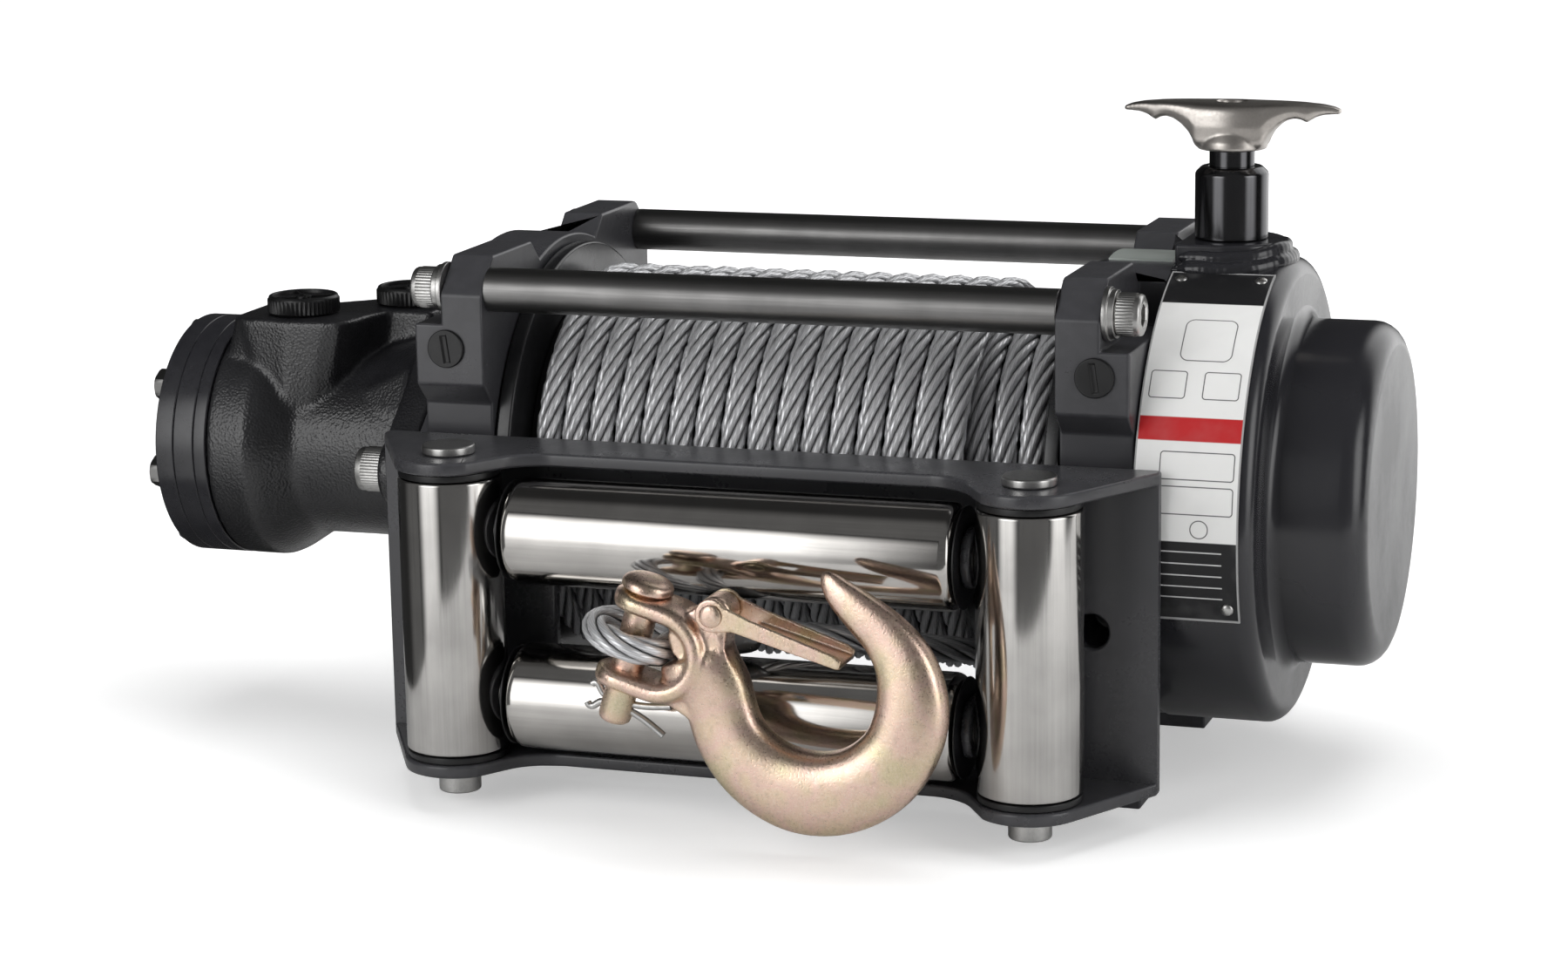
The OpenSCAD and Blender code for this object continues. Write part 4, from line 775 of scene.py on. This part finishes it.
# %% Rope end and eye
LEAD = [
    (74.8, -31.8, -65.3), (74.8, -40, -62.7), (74.8, -50, -59.5), (74.3, -58, -57), (72, -65, -54.8),
    (67, -71.5, -52.8), (60, -78, -50.7), (51, -85.5, -48.3), (42, -93, -46), (33, -100.5, -43.6),
    (24, -107, -41.4), (15.5, -113, -39.2), (9, -118.5, -37.4), (5, -122.3, -37), (0, -127.3, -37),
    (-5, -132.3, -37), (-8.6, -136.6, -36.7), (-11, -141.5, -36), (-12.4, -147, -35.2), (-12.9, -153, -34.6),
    (-12.9, -159, -34.3), (-12.9, -165, -34.2), (-14.4, -170.8, -33.8), (-18.5, -175, -32.6),
    (-24, -176.6, -31), (-29.5, -175.4, -29.4), (-34.5, -172.2, -28), (-38, -167.3, -27),
    (-39.2, -161.5, -26.7), (-38, -155.5, -27.2),
    (-34.8, -149.5, -28.4), (-30.2, -143.5, -30.4), (-25, -137.5, -32.8), (-20.2, -132.2, -35.2),
    (-16, -127.9, -36.6), (-12.5, -124.4, -37), (-7.7, -119.6, -37), (-2.7, -114.6, -37), (2.6, -109.3, -37)]
lead_path = smooth_path([(x, y, z + AXIS_H) for x, y, z in LEAD], 3.2)
rope_end, lead_run = rope_piece("rope_end", lead_path, "frame", "rope_lead", 10)


def squared(value, power):
    """Bends a sine or cosine, so that the circle they draw becomes a rounded box."""
    return math.copysign(abs(value) ** power, value)


def pressed_sleeve():
    """An oval sleeve round both legs of the eye, rounded at its ends by the press."""
    ease = [(-9, 0.80), (-8.7, 0.9), (-7.8, 0.97), (-6, 1), (6, 1), (7.8, 0.97), (8.7, 0.9), (9, 0.80)]
    turn = Matrix.Translation((-3.85, -123.45, AXIS_H - 37)) @ Matrix.Rotation(math.radians(-45), 4, "Z")

    def place(i, j):
        at, share = ease[i]
        a = 2 * math.pi * j / 40
        wide = squared(max(-1.0, min(1.0, math.cos(a) * 1.02)), 0.8)
        return turn @ Vector((13.9 * share * wide, at, 8.5 * share * squared(math.sin(a), 0.9)))

    bm = bmesh.new()
    rolled(bm, len(ease) - 1, 40, place)
    return clean(bm)


sleeve = finish(pressed_sleeve(), "rope_sleeve", "frame", ferrule_steel, ["rope_ferrule"], 50)

# %% [markdown]
# ## Shapes that flow into each other
# A forging or a casting has no seams: its parts are melted together. Overlapping shapes are put into
# one mesh, a voxel remesh gives them one common skin, and a few rounds of smoothing turn the inner
# corners into fillets.

# %% Melting shapes together
def melted(bm, voxel_mm, rounds):
    holder = placed("to melt", mesh_of(clean(bm), "to melt"))
    remesh = holder.modifiers.new("melt", "REMESH")
    remesh.mode, remesh.voxel_size = "VOXEL", voxel_mm
    bm = evaluated(holder)
    for _ in range(rounds):
        bmesh.ops.smooth_vert(bm, verts=bm.verts, factor=0.5,
                              use_axis_x=True, use_axis_y=True, use_axis_z=True)
    return bm


def evaluated(holder):
    """What an object's modifiers make of it. The object itself goes."""
    mesh = bpy.data.meshes.new_from_object(holder.evaluated_get(bpy.context.evaluated_depsgraph_get()))
    bpy.data.objects.remove(holder)
    bm = bmesh.new()
    bm.from_mesh(mesh)
    return bm


def carved(bm, tool):
    """Cuts one shape out of another."""
    body, cutter = (placed("carving", mesh_of(clean(shape), "carving")) for shape in (bm, tool))
    cut = body.modifiers.new("cut", "BOOLEAN")
    cut.operation, cut.object, cut.solver = "DIFFERENCE", cutter, "EXACT"
    result = evaluated(body)
    bpy.data.objects.remove(cutter)
    return result


def slab(outline, low, high):
    """An outline in X and Y, given thickness along Z."""
    bm = bmesh.new()
    face = bm.faces.new([bm.verts.new((x, y, low)) for x, y in outline])
    grown = bmesh.ops.extrude_face_region(bm, geom=[face])["geom"]
    top = [g for g in grown if isinstance(g, bmesh.types.BMVert)]
    bmesh.ops.translate(bm, vec=(0, 0, high - low), verts=top)
    return clean(bm)


def bow(cx, cy, r, start, end, steps=16):
    """Points of an arc."""
    angles = [math.radians(start + (end - start) * k / steps) for k in range(steps + 1)]
    return [(cx + r * math.cos(a), cy + r * math.sin(a)) for a in angles]


print("melting and carving ready")

# %% [markdown]
# ## The motor's casting
# A turned barrel tapers to a neck and ends in a two-eared flange. The block under the ports has steep
# walls, and webs slope from it to the barrel and the neck; where they meet, soft ridges catch the
# light. The bore stays open for the shaft.

# %% Motor housing
ON_AXIS = Matrix.Translation((0, 0, AXIS_H))
FACING_X = Matrix(((0, 0, 1, 0), (1, 0, 0, 0), (0, 1, 0, 0), (0, 0, 0, 1)))
barrel = turned([(-253.5, 24), (-253.5, 49.3), (-236.8, 49.3), (-232, 47.2), (-219.8, 39.2),
                 (-216, 38.8), (-156, 38.8), (-156, 41.2), (-150, 41.2), (-150, 12.8), (-182, 12.8),
                 (-182, 24)], 96, tube=True)
ears = [*bow(EARS_APART, 0, 13.5, -70, 70), *bow(0, 0, 47.2, 52, 128),
        *bow(-EARS_APART, 0, 13.5, 110, 250), *bow(0, 0, 47.2, 232, 308)]
motor = gathered((barrel, outward(0, 0, AXIS_H, "X")), (slab(ears, -170, -156), ON_AXIS @ FACING_X))
HIGH = [(-248, -28), (-246, -31), (-241, -34), (-222, -35), (-206, -34.5), (-199, -33), (-196, -28),
        (-194, -12), (-190, -3), (-172, -2.5)]
LOW = [(-244, -22), (-240, -27.5), (-233, -33.5), (-223, -35.8), (-213, -33.2), (-207, -28.5), (-203, -21),
       (-201.7, -13), (-195, -4), (-172, -2.5)]
FAR_SIDE = [(-171, 17), *bow(-189, 17, 19, 0, 150), (-222, 12), (-246, 8), (-248, 2)]
LAYERS, FOOT_Z, RISE_Z, ROOF_Z = 10, 18, 33, 55
for k in range(LAYERS + 1):
    t = k / LAYERS
    wall = [(a * t + c * (1 - t), b * t + d * (1 - t)) for (a, b), (c, d) in zip(HIGH, LOW)]
    low, high = FOOT_Z + RISE_Z * t, min(ROOF_Z, FOOT_Z + 6 + RISE_Z * t)
    if k == 0:
        low, high = FOOT_Z - 6, FOOT_Z + 8
    add(motor, slab(wall + FAR_SIDE, low, high), ON_AXIS)
WEBS = [[(-253.4, -30, 30), (-253.4, 8, 46), (-246, -31.5, 53), (-246, 8, 54), (-230, -34, 30), (-230, 8, 40),
         (-249, -24, 53), (-240, -33, 50)],
        [(-199, -30, 22), (-199, -18, 33), (-199, -5, 37.5), (-199, 10, 37), (-168, -37, 18),
         (-168, -27, 37.5), (-168, -12, 46.5), (-168, 4, 48), (-168, 14, 46), (-199, 0, 10), (-168, 0, 10)]]
for points in WEBS:
    web = bmesh.new()
    for point in points:
        web.verts.new(point)
    inside = bmesh.ops.convex_hull(web, input=web.verts)["geom_interior"]
    bmesh.ops.delete(web, geom=[g for g in inside if isinstance(g, bmesh.types.BMVert)], context="VERTS")
    add(motor, clean(web), ON_AXIS)
for x, y in PORTS:
    add(motor, turned([(30, 19), (54.2, 19), (55, 18.2)], 64), outward(x, y, AXIS_H, "Z"))
dress(melted(motor, 0.9, 12), "motor_housing", "frame", cast_paint, 60)

# %% [markdown]
# ## The clutch's boss and its weld
# The boss for the clutch is welded on the gearbox. Two fat beads run round it, one over the other,
# as thick and thin as the welder's hand left them, under glossy paint.

# %% Weld beads
def bead(offset, lift, radius, seed):
    """One bead along the foot of the boss, from the left side round its front to the back."""
    side_y, housing_r, shoulder_x = 21 + offset, 89.2, 178
    plan = [(142, -side_y), (150, -side_y), *bow(CLUTCH_X, 0, side_y, -90, 90, 28), (150, side_y),
            (142, side_y)]
    line = [(x, y, AXIS_H + math.sqrt(housing_r ** 2 - y * y) + lift - max(0.0, x - shoulder_x) * 0.25)
            for x, y in plan]
    path = smooth_path(line, 0.8)
    ahead, side, over, run = running_frame(path)

    def place(i, j):
        a = 2 * math.pi * j / 14
        swell = (1 + 0.35 * noise.noise((run[i] * 0.09, seed, 0.7 * math.cos(a)))
                 + 0.02 * math.sin(run[i] * 2.4))
        taper = min(1.0, 0.45 + min(i, len(path) - 1 - i) * 0.12)
        return Vector(path[i] + radius * swell * taper * (math.cos(a) * side[i] + math.sin(a) * over[i]))

    bm = bmesh.new()
    rolled(bm, len(path) - 1, 14, place)
    return clean(bm), Matrix()


beads = gathered(bead(1.2, 0.2, 3.4, 3.0), bead(-0.2, 4.4, 2.7, 11.0))
finish(melted(beads, 0.45, 2), "clutch_weld", "frame", smooth_paint, (), 70)

# %% [markdown]
# ## The T handle
# A satin casting. Its plan is a long lens, its top is nearly flat, and each wing
# has two finger scallops below, the inner one running down into the round neck.

# %% Clutch handle
UNDER = [(0, 130.2), (11.6, 130.2), (12.9, 131.0), (13.6, 133.0), (15.2, 136.0), (18.2, 139.1), (21.5, 141.2),
         (24.4, 141.9), (26.8, 141.5), (28.7, 140.4), (29.6, 140.9), (32, 142.4), (35, 143.3), (38, 143.5),
         (41, 143.6)]
OVER = [(0, 147.8), (14, 147.75), (27, 147.5), (34, 147.0), (38.5, 146.2), (41, 145.2)]
WING = 41


def handle_section(i, j):
    """Rounded boxes along the wing, lens-shaped in plan."""
    x = WING * (i / 60 - 1)
    far = abs(x)
    low = float(np.interp(far, *zip(*UNDER)))
    high = float(np.interp(far, *zip(*OVER)))
    wide = 2.3 + 9.6 * (1 - (math.hypot(far, 9) - 9) / (math.hypot(WING, 9) - 9))
    a = 2 * math.pi * j / 40
    y, z = squared(math.cos(a), 0.42), squared(math.sin(a), 0.42)
    return Vector((CLUTCH_X + x, wide * y * (1 - 0.06 * (z < 0)),
                   AXIS_H + (low + high) / 2 + (high - low) / 2 * z))


handle = bmesh.new()
rolled(handle, 120, 40, handle_section)
neck = turned([(129.8, 12.6), (130.4, 13.2), (132.8, 13.2), (134.5, 12.4), (138, 10.6), (144, 9)], 72)
add(handle, clean(neck), outward(CLUTCH_X, 0, AXIS_H, "Z"))
well = turned([(138, 5.4), (147.2, 5.4), (149, 7.2)], 48)
well = gathered((well, outward(CLUTCH_X, 0, AXIS_H, "Z")))
dress(carved(melted(handle, 0.5, 2), well), "clutch_handle", "clutch_handle", cast_handle, 50)

# %% [markdown]
# ## The hook
# A drop forging: a heavy bowl that thins towards the tip, and a shank that spreads into a round
# clevis. Its sections are flattened circles along a curve, melted together with the clevis's bow and
# the lug for the latch.

# %% Hook body
HOOK_TURN = Matrix.Translation((-24, -165, AXIS_H - 31)) @ Matrix.Rotation(math.radians(16), 4, "Y")
BOWL = (70, 3)
BOWL_R = 36
stations = [(-1.30, -0.02, 0.36), (-1.22, -0.12, 0.40), (-1.02, -0.26, 0.37), (-0.90, -0.44, 0.355)]
stations += [(math.cos(math.radians(a)), math.sin(math.radians(a)), half) for a, half in zip(
    (222, 240, 258, 276, 294, 312, 330, 348, 366, 384, 400),
    (0.36, 0.38, 0.40, 0.42, 0.42, 0.41, 0.40, 0.38, 0.37, 0.34, 0.30))]
stations += [(0.52, 0.84, 0.25), (0.22, 0.98, 0.205), (-0.05, 1.10, 0.15), (-0.20, 1.20, 0.085),
             (-0.26, 1.24, 0.02)]
bent = smooth_path([(BOWL[0] + u * BOWL_R, v * BOWL_R + BOWL[1], half * BOWL_R * 3)
                    for u, v, half in stations], 1.5)
hook_line, hook_half = bent[:, :2], bent[:, 2] / 3


def hook_section(i, j):
    ahead = hook_line[min(i + 1, len(bent) - 1)] - hook_line[max(i - 1, 0)]
    ahead /= np.linalg.norm(ahead)
    a = 2 * math.pi * j / 36
    u, v = hook_line[i] + squared(math.cos(a), 0.82) * hook_half[i] * np.array((ahead[1], -ahead[0]))
    return Vector((u, squared(math.sin(a), 0.7) * hook_half[i] * 0.68, v))


EYE_R, BOW_R, STRAIGHT = 11.0, 14.75, 11.5


def clevis_section(i, j):
    """The bow: two ears joined by a half round, its ends rounded like the eyes they are."""
    run = -EYE_R + (2 * (EYE_R + STRAIGHT) + math.pi * BOW_R) * i / 80
    a = 2 * math.pi * j / 32
    if run < STRAIGHT:
        u, v, out = run, BOW_R, (0, 1)
    elif run < STRAIGHT + math.pi * BOW_R:
        t = (run - STRAIGHT) / BOW_R
        u, v, out = STRAIGHT + BOW_R * math.sin(t), BOW_R * math.cos(t), (math.sin(t), math.cos(t))
    else:
        u, v, out = 2 * STRAIGHT + math.pi * BOW_R - run, -BOW_R, (0, -1)
    wide = math.sqrt(max(0.3, EYE_R ** 2 - min(0.0, u) ** 2)) if u < 0 else EYE_R
    w = squared(math.sin(a), 0.75) * 4.25 * min(1.0, 0.55 + (u + EYE_R) * 0.12)
    return Vector((u + w * out[0], squared(math.cos(a), 0.75) * wide, v + w * out[1]))


def on_hook(bm, node, body, paint, sharp=40):
    bmesh.ops.transform(bm, matrix=HOOK_TURN, verts=bm.verts)
    dress(bm, node, body, paint, sharp)


UPRIGHT = Matrix.Rotation(math.radians(90), 4, "X")
hook = bmesh.new()
rolled(hook, len(bent) - 1, 36, hook_section)
rolled(hook, 80, 32, clevis_section)
add(hook, slab([(24, 16), (32, 14), (40, 3), (45, -12), (41, -24), (33, -21), (22, -18), (16, -17),
                (25, -6), (25, 6)], -6.5, 6.5), UPRIGHT)
add(hook, slab([*bow(27.7, 21, 6.2, -20, 160, 14), *bow(22, 9, 9, 160, 270, 10), *bow(30, 6, 7, 270, 330, 6)],
               -6, 6), UPRIGHT)
hook = carved(melted(hook, 0.75, 4), turned([(-40, 6.1), (40, 6.1)], 40))
on_hook(hook, "hook_body", "hook", yellow_zinc, sharp=60)

# %% [markdown]
# ## Pin, split pin and latch
# The clevis pin has a low domed head. The split pin is one wire folded on itself, its legs spread.
# The latch is a folded strip of sheet with an eye on each side, held by a rivet with round heads.

# %% Hook fittings
on_hook(clean(turned([(-32, 4.8), (-31.2, 5.7), (-30, 6), (19.3, 6), (19.3, 8.9), (19.9, 9.5), (21.4, 9.5),
                      (22.6, 8.9), (23.5, 7.6), (23.95, 5.2), (24, 1.5)], 56)),
        "clevis_pin", "hook", yellow_zinc)

COTTER = [(-8, 1.6), (-7.4, 2.2), (-6.4, 2.15), (-5.6, 1.3), (-4.7, 0.35), (0, 0.1), (4.7, 0.1), (7, 0.6),
          (11, 1.9), (14, 3.1)]


def wire(bm, line, r, sides):
    """A round wire along a line."""
    ahead, side, over, run = running_frame(line)
    turn = 2 * math.pi / sides
    rolled(bm, len(line) - 1, sides, lambda i, j: Vector(
        line[i] + r * (math.cos(turn * j) * side[i] + math.sin(turn * j) * over[i])))
    return clean(bm)


split_pin = bmesh.new()
for side in (-1, 1):
    leg = [(u * 1.4, 0, side * (v + 1.02) * 1.4 - 25.5) for u, v in COTTER]
    wire(split_pin, smooth_path(leg, 0.7), 1.34, 12)
on_hook(split_pin, "cotter_pin", "hook", screw_steel)

LATCH_AT = Matrix.Translation((27.7, 0, 21)) @ UPRIGHT
cheek = [*bow(0, 0, 6.1, 48, 300, 20), (9, -3.1), (49, -3.1), (50, -2.0), (50, 0.4), (47, 1.4),
         (14, 3.2), (9, 4.0)]
strip = [(14, -3.1), (50, -3.1), (50, -1.5), (14, -1.5)]
latch = gathered(*((slab(outline, low, high), LATCH_AT) for outline, low, high in (
    (cheek, -9.1, -7.5), (cheek, 7.5, 9.1), (strip, -8.3, 8.3))))
on_hook(melted(latch, 0.42, 2), "hook_latch", "hook_latch", yellow_zinc, sharp=60)

dome = clean(turned([(0, 2.6), (9.4, 2.6), (9.4, 4.1), (9.8, 4.15), (10.3, 3.6), (10.6, 2.3),
                     (10.65, 0.4)], 40))
rivet = gathered(*((dome, LATCH_AT @ outward(0, 0, 0, "Z", sign)) for sign in (-1, 1)))
on_hook(rivet, "latch_rivet", "hook", yellow_zinc)

# %% [markdown]
# ## Springs
# In the frame the springs are plain sleeves that hold their room. Here they are wound wire.

# %% Springs
def coil(turns, r, wire_r, length):
    steps = np.arange(int(turns * 28) + 1)
    a = 2 * np.pi * steps / 28
    line = np.stack([r * np.cos(a), r * np.sin(a), length * steps / steps[-1]], 1)
    return wire(bmesh.new(), line, wire_r, 8)


LIFT_SPRING_Z = AXIS_H + 96 + 0.3 + 3 + 0.6
LATCH_COIL_AT = 6.75
lift_spring = gathered((coil(7, 9.18, 0.45, 18.2), outward(CLUTCH_X, 0, LIFT_SPRING_Z, "Z")))
pressed = dress(lift_spring, "clutch_spring", "frame", ground_steel, 60)
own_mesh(pressed)
latch_coils = gathered(*((coil(1.2, 3.7, 0.4, 0.4), LATCH_AT @ outward(0, 0, sign * LATCH_COIL_AT - 0.2, "Z"))
                         for sign in (-1, 1)))
on_hook(latch_coils, "latch_spring", "hook", screw_steel, 60)

# %% [markdown]
# ## The rating plate
# A printed metal plate wraps the gearbox. Its bands are found from the angle round the gearbox and
# from the place along it, so the print bends with the plate. It is laid out as such plates are, with
# coloured bands, empty boxes and ruled lines, and says nothing.

# %% Rating plate
PLATE_X, MM_PER_DEGREE = 160.3, 1.566
BOXES = ((2.0, 48.5, 9.5, 9.5, 3.2), (-10.2, 36.0, 6.6, 5.4, 1.2), (9.6, 36.0, 6.6, 5.4, 1.2),
         (3.6, 16.6, 13.6, 5.0, 1.2), (3.6, 8.6, 13.6, 5.0, 1.2), (5.2, 2.0, 3.2, 3.2, 3.1))
FRAME_LINE, RULE_LINE, RULE_PITCH = 0.28, 0.32, 2.84


def printed_plate():
    paint = Paint("printed plate", Specular_IOR_Level=0.3)
    x, y, z = paint.axes(paint.place)
    across = x * 1000 - PLATE_X
    round_it = paint.maths("ARCTAN2", z - AXIS_H * MM, y * -1) * math.degrees(1)

    def above(value, limit, soft=0.12):
        return paint.between(value, limit - soft, limit + soft)

    def band(low, high):
        return above(round_it, low) * (1 - above(round_it, high))

    def outline(cx, cy, half_x, half_y, r):
        """A thin rounded frame; its height is measured along the curve."""
        dx = paint.maths("MAXIMUM", paint.maths("ABSOLUTE", across - cx) - (half_x - r), 0.0)
        dy = paint.maths("ABSOLUTE", (round_it - cy) * MM_PER_DEGREE) - (half_y - r)
        dy = paint.maths("MAXIMUM", dy, 0.0)
        off = paint.maths("ABSOLUTE", paint.maths("SQRT", dx * dx + dy * dy) - r)
        return paint.between(off, FRAME_LINE * 0.5, FRAME_LINE, 1.0, 0.0)

    def rules(low, high, left, right):
        """Ruled lines."""
        phase = paint.maths("FRACT", (round_it - low) * (1 / RULE_PITCH))
        off = paint.maths("ABSOLUTE", phase - 0.5) * (RULE_PITCH * MM_PER_DEGREE)
        thin = paint.between(off, RULE_LINE * 0.5, RULE_LINE, 1.0, 0.0)
        return thin * (above(across, left, 0.1) * (1 - above(across, right, 0.1))) * band(low, high)

    white, black, red = (0.70, 0.70, 0.69), (0.010, 0.010, 0.011), (0.42, 0.012, 0.014)
    tone = paint.mix(band(-1.0, 60.2), black, white)
    tone = paint.mix(band(22.3, 28.0), tone, red)
    frames = outline(*BOXES[0])
    for box in BOXES[1:]:
        frames = frames + outline(*box)
    tone = paint.mix(paint.maths("MINIMUM", frames, 1.0) * band(-1.0, 60.2), tone, (0.10, 0.10, 0.10))
    tone = paint.mix(rules(-16.2, -2.0, -15.5, 13.5), tone, (0.5, 0.5, 0.5))
    rim = paint.maths("MAXIMUM", above(paint.maths("ABSOLUTE", across), 18.9, 0.08),
                      above(paint.maths("ABSOLUTE", round_it - 26.5), 46.9, 0.05))
    tone = paint.mix(rim, tone, (0.30, 0.30, 0.30))
    second = above(x * -1000, -138.0, 0.1)
    tone = paint.mix(second, tone, (0.46, 0.50, 0.47))
    wipe = paint.noise(14, 3, 0.5)
    tone = paint.mix(paint.between(wipe, 0.5, 0.8, 0.0, 0.12), tone, (0.32, 0.32, 0.32))
    paint.feed(Base_Color=tone, Roughness=paint.between(wipe, 0.3, 0.7, 0.36, 0.48),
               Metallic=second * 0.6, Normal=paint.bump(paint.noise(20, 2), 0.12))
    return paint.material


plate_print = printed_plate()
PLATE_R = 89.7
stud = clean(turned([(-0.6, 2.2), (0, 2.4), (0.35, 2.3), (0.8, 1.8), (1.1, 1.1), (1.2, 0.3)], 32))
rivets = bmesh.new()
for x in (145.3, 175.3):
    for a in (math.radians(-17.5), math.radians(70.5)):
        stand = Matrix.Translation((x, -PLATE_R * math.cos(a), AXIS_H + PLATE_R * math.sin(a)))
        add(rivets, stud, stand @ Matrix.Rotation(math.pi / 2 - a, 4, "X"))
dress(rivets, "label_rivets", "frame", screw_steel, 40)

# %% [markdown]
# ## What the casing hides
# The gears, carriers and shafts keep the frame's own meshes and get machined steel, oiled bronze or
# rubber in their material slots. They show through the rollers' window, in a section or when the
# winch is taken apart.

# %% Inner parts
oiled_gear = metal("oiled gear steel", (0.30, 0.30, 0.31), 0.28, None, 1.1, 0.012, 0.08, (0.24, 0.225, 0.19))
forged_carrier = metal("turned carrier steel", (0.34, 0.34, 0.35), 0.38, None, 0.8, 0.02)
KEPT = {
    "label_plate": plate_print, "shaft_seal": seal_rubber, "drum_bushes": bronze,
    "housing_screws": screw_steel,
    "gerotor_star": machined_steel, "motor_shaft": ground_steel, "drive_link": machined_steel,
    "drive_shaft": ground_steel, "shaft_coupling": machined_steel, "sun_gear": oiled_gear,
    "clutch_ring_gear": oiled_gear, "input_ring_gear": oiled_gear, "input_carrier": forged_carrier,
    "output_carrier": forged_carrier, "input_planet_pins": ground_steel, "output_planet_pins": ground_steel,
    **{f"{stage}_planet_{which}": oiled_gear for stage in ("input", "output") for which in "abc"}}
for node, paint in KEPT.items():
    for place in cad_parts[node].material_slots:
        place.material = paint
print("frame parts that keep their mesh:", len(KEPT))

# %% [markdown]
# ## The rope's facts
# The free end's first point, its run and its path are worked out in metres, and its run is printed in
# millimetres.

# %% Rope facts
tuple(c * MM for c in lead_path[0])
float(lead_run * MM)
[[float(c) * MM for c in p] for p in lead_path]
print("free rope:", round(lead_run), "mm")

# %% [markdown]
# ## The floor, the room and the lamps
# The winch stands on a white sweep. Far from the winch the sweep gives its own white light to the
# camera, and near it the lamps do, so the shadow stays. Polished steel is only as good as what it
# mirrors: a dim studio, white in its far right corner, with two soft glowing panels that draw the
# long bright bands on the rollers. The lamps themselves are hidden from mirrors. A mirror sees only
# the table that the winch stands on, so a second, small floor is made for reflections alone.

# %% Room
FRONT, BACK, RIGHT_BACK = 0.14, 0.03, 1.5
ROOM_LIGHT = 0.13


def room():
    world = bpy.data.worlds.new("white room")
    bpy.context.scene.world = world
    world.use_nodes = True
    net = Net(world.node_tree)
    x, y = net.axes(net.node("TexCoord", output="Generated"))[:2]
    corner = net.eased(x, -0.1, 0.25, 0.0, net.eased(y, 0.35, 0.7, 0.0, RIGHT_BACK))
    mirrored = net.maths("MAXIMUM", net.eased(y, -0.25, 0.1, FRONT, BACK), corner)
    shown = net.maths("MAXIMUM", net.node("LightPath", output="Is Camera Ray"), mirrored)
    background = world.node_tree.nodes["Background"].inputs
    net.plug(background["Color"], (1, 1, 1))
    net.plug(background["Strength"], net.eased(net.seen(), 0, 1, ROOM_LIGHT, shown))


def lamp(name, at, size, watts):
    """A softbox that lights the winch and that no mirror sees."""
    data = bpy.data.lights.new(name, "AREA")
    data.shape = "RECTANGLE"
    data.size, data.size_y = size
    data.energy = watts
    holder = placed(name, data)
    holder.location = at
    holder.rotation_euler = (Vector((0, 0, 0.11)) - Vector(at)).to_track_quat("-Z", "Y").to_euler()
    holder.visible_glossy = False
    print("lamp", name, watts, "W")


def sheet(name, corners, paint):
    """A flat piece of the room, with its UV map from 0 to 1 both ways."""
    bm = bmesh.new()
    uv = bm.loops.layers.uv.new("UVMap")
    face = bm.faces.new([bm.verts.new(corner) for corner in corners])
    for loop, where in zip(face.loops, ((0, 0), (1, 0), (1, 1), (0, 1))):
        loop[uv].uv = where
    mesh = mesh_of(bm, name)
    mesh.materials.append(paint.material)
    piece = placed(name, mesh)
    return piece


def only_mirrored(piece):
    piece.visible_camera = piece.visible_diffuse = piece.visible_shadow = False


DARK, LIT = (0.0, 0.0, 0.0), (1.0, 1.0, 1.0)
PANEL_AWAY, PANEL_LOW, PANEL_HIGH, PANEL_GLOW = 1.5, -0.75, 1.5, 2.7


def glow_panel(name, turn, half):
    """What a mirror sees of a softbox: bright in the middle, dimmer low down, and fading to its edges."""
    paint = Paint(name, Base_Color=DARK, Specular_IOR_Level=0.0, Roughness=1.0, Emission_Strength=PANEL_GLOW)
    side, height = paint.uv()
    light = (paint.eased(paint.maths("ABSOLUTE", side - 0.5), 0.14, 0.5, 1.0, 0.0)
             * paint.eased(height, 0.26, 0.47, 0.4, 1.0) * paint.eased(height, 0.68, 1.0, 1.0, 0.0))
    paint.feed(Emission_Color=paint.mix(light, DARK, LIT))
    at = Vector((math.sin(turn), -math.cos(turn))) * PANEL_AWAY
    across = Vector((math.cos(turn), math.sin(turn))) * half
    near, far = at - across, at + across
    corners = ((*near, PANEL_LOW), (*far, PANEL_LOW), (*far, PANEL_HIGH), (*near, PANEL_HIGH))
    only_mirrored(sheet(name, corners, paint))
    print("panel", name, PANEL_GLOW)


room()
lamp("left softbox", (-0.80, -1.38, 0.4), (1.12, 2.3), 25)
lamp("right softbox", (1.45, -0.71, 0.4), (0.7, 2.3), 18)
lamp("top softbox", (0.1, 0.3, 1.65), (1.8, 1.0), 19)
glow_panel("left glow", math.radians(-27), 0.68)
glow_panel("right glow", math.radians(75), 0.58)

# %% [markdown]
# ## The floor
# A white sweep has no edge that the camera could find. Its paint gives light of its own, more of it
# further away. Mirrors get the small table in its place, because a roller that saw the whole sweep
# would be white from end to end.

# %% Floor
def white_floor(name, near, glow, grey):
    """White paint that gives its own light, dimmer near the winch, to all that is seen."""
    paint = Paint(name, Roughness=0.7, Base_Color=(grey, grey, grey), Emission_Strength=1.0)
    away = paint.node("VectorMath", {"operation": "LENGTH"}, {0: paint.place}, "Value")
    white = paint.mix(paint.between(away, near, 1.6, glow, 1.0), DARK, LIT)
    return paint.feed(Emission_Color=paint.mix(paint.seen(), DARK, white))


def ground(name, paint, low, high, z):
    """A level rectangle from one corner to the other."""
    return sheet(name, ((*low, z), (high[0], low[1], z), (*high, z), (low[0], high[1], z)), paint)


floor = ground("floor", white_floor("white floor", 0.25, 0.42, 0.84), (-8, -8), (8, 8), 0)
floor.visible_glossy = False
table_paint = white_floor("white table", 0.3, 0.03, 0.62)
only_mirrored(ground("table", table_paint, (-0.27, -0.50), (0.9, 1.2), 0.0002))
print("floor and room ready")

# %% [markdown]
# ## The end
# Colours go to the picture as they are.

# %% Finish
bpy.context.scene.view_settings.view_transform = "Standard"
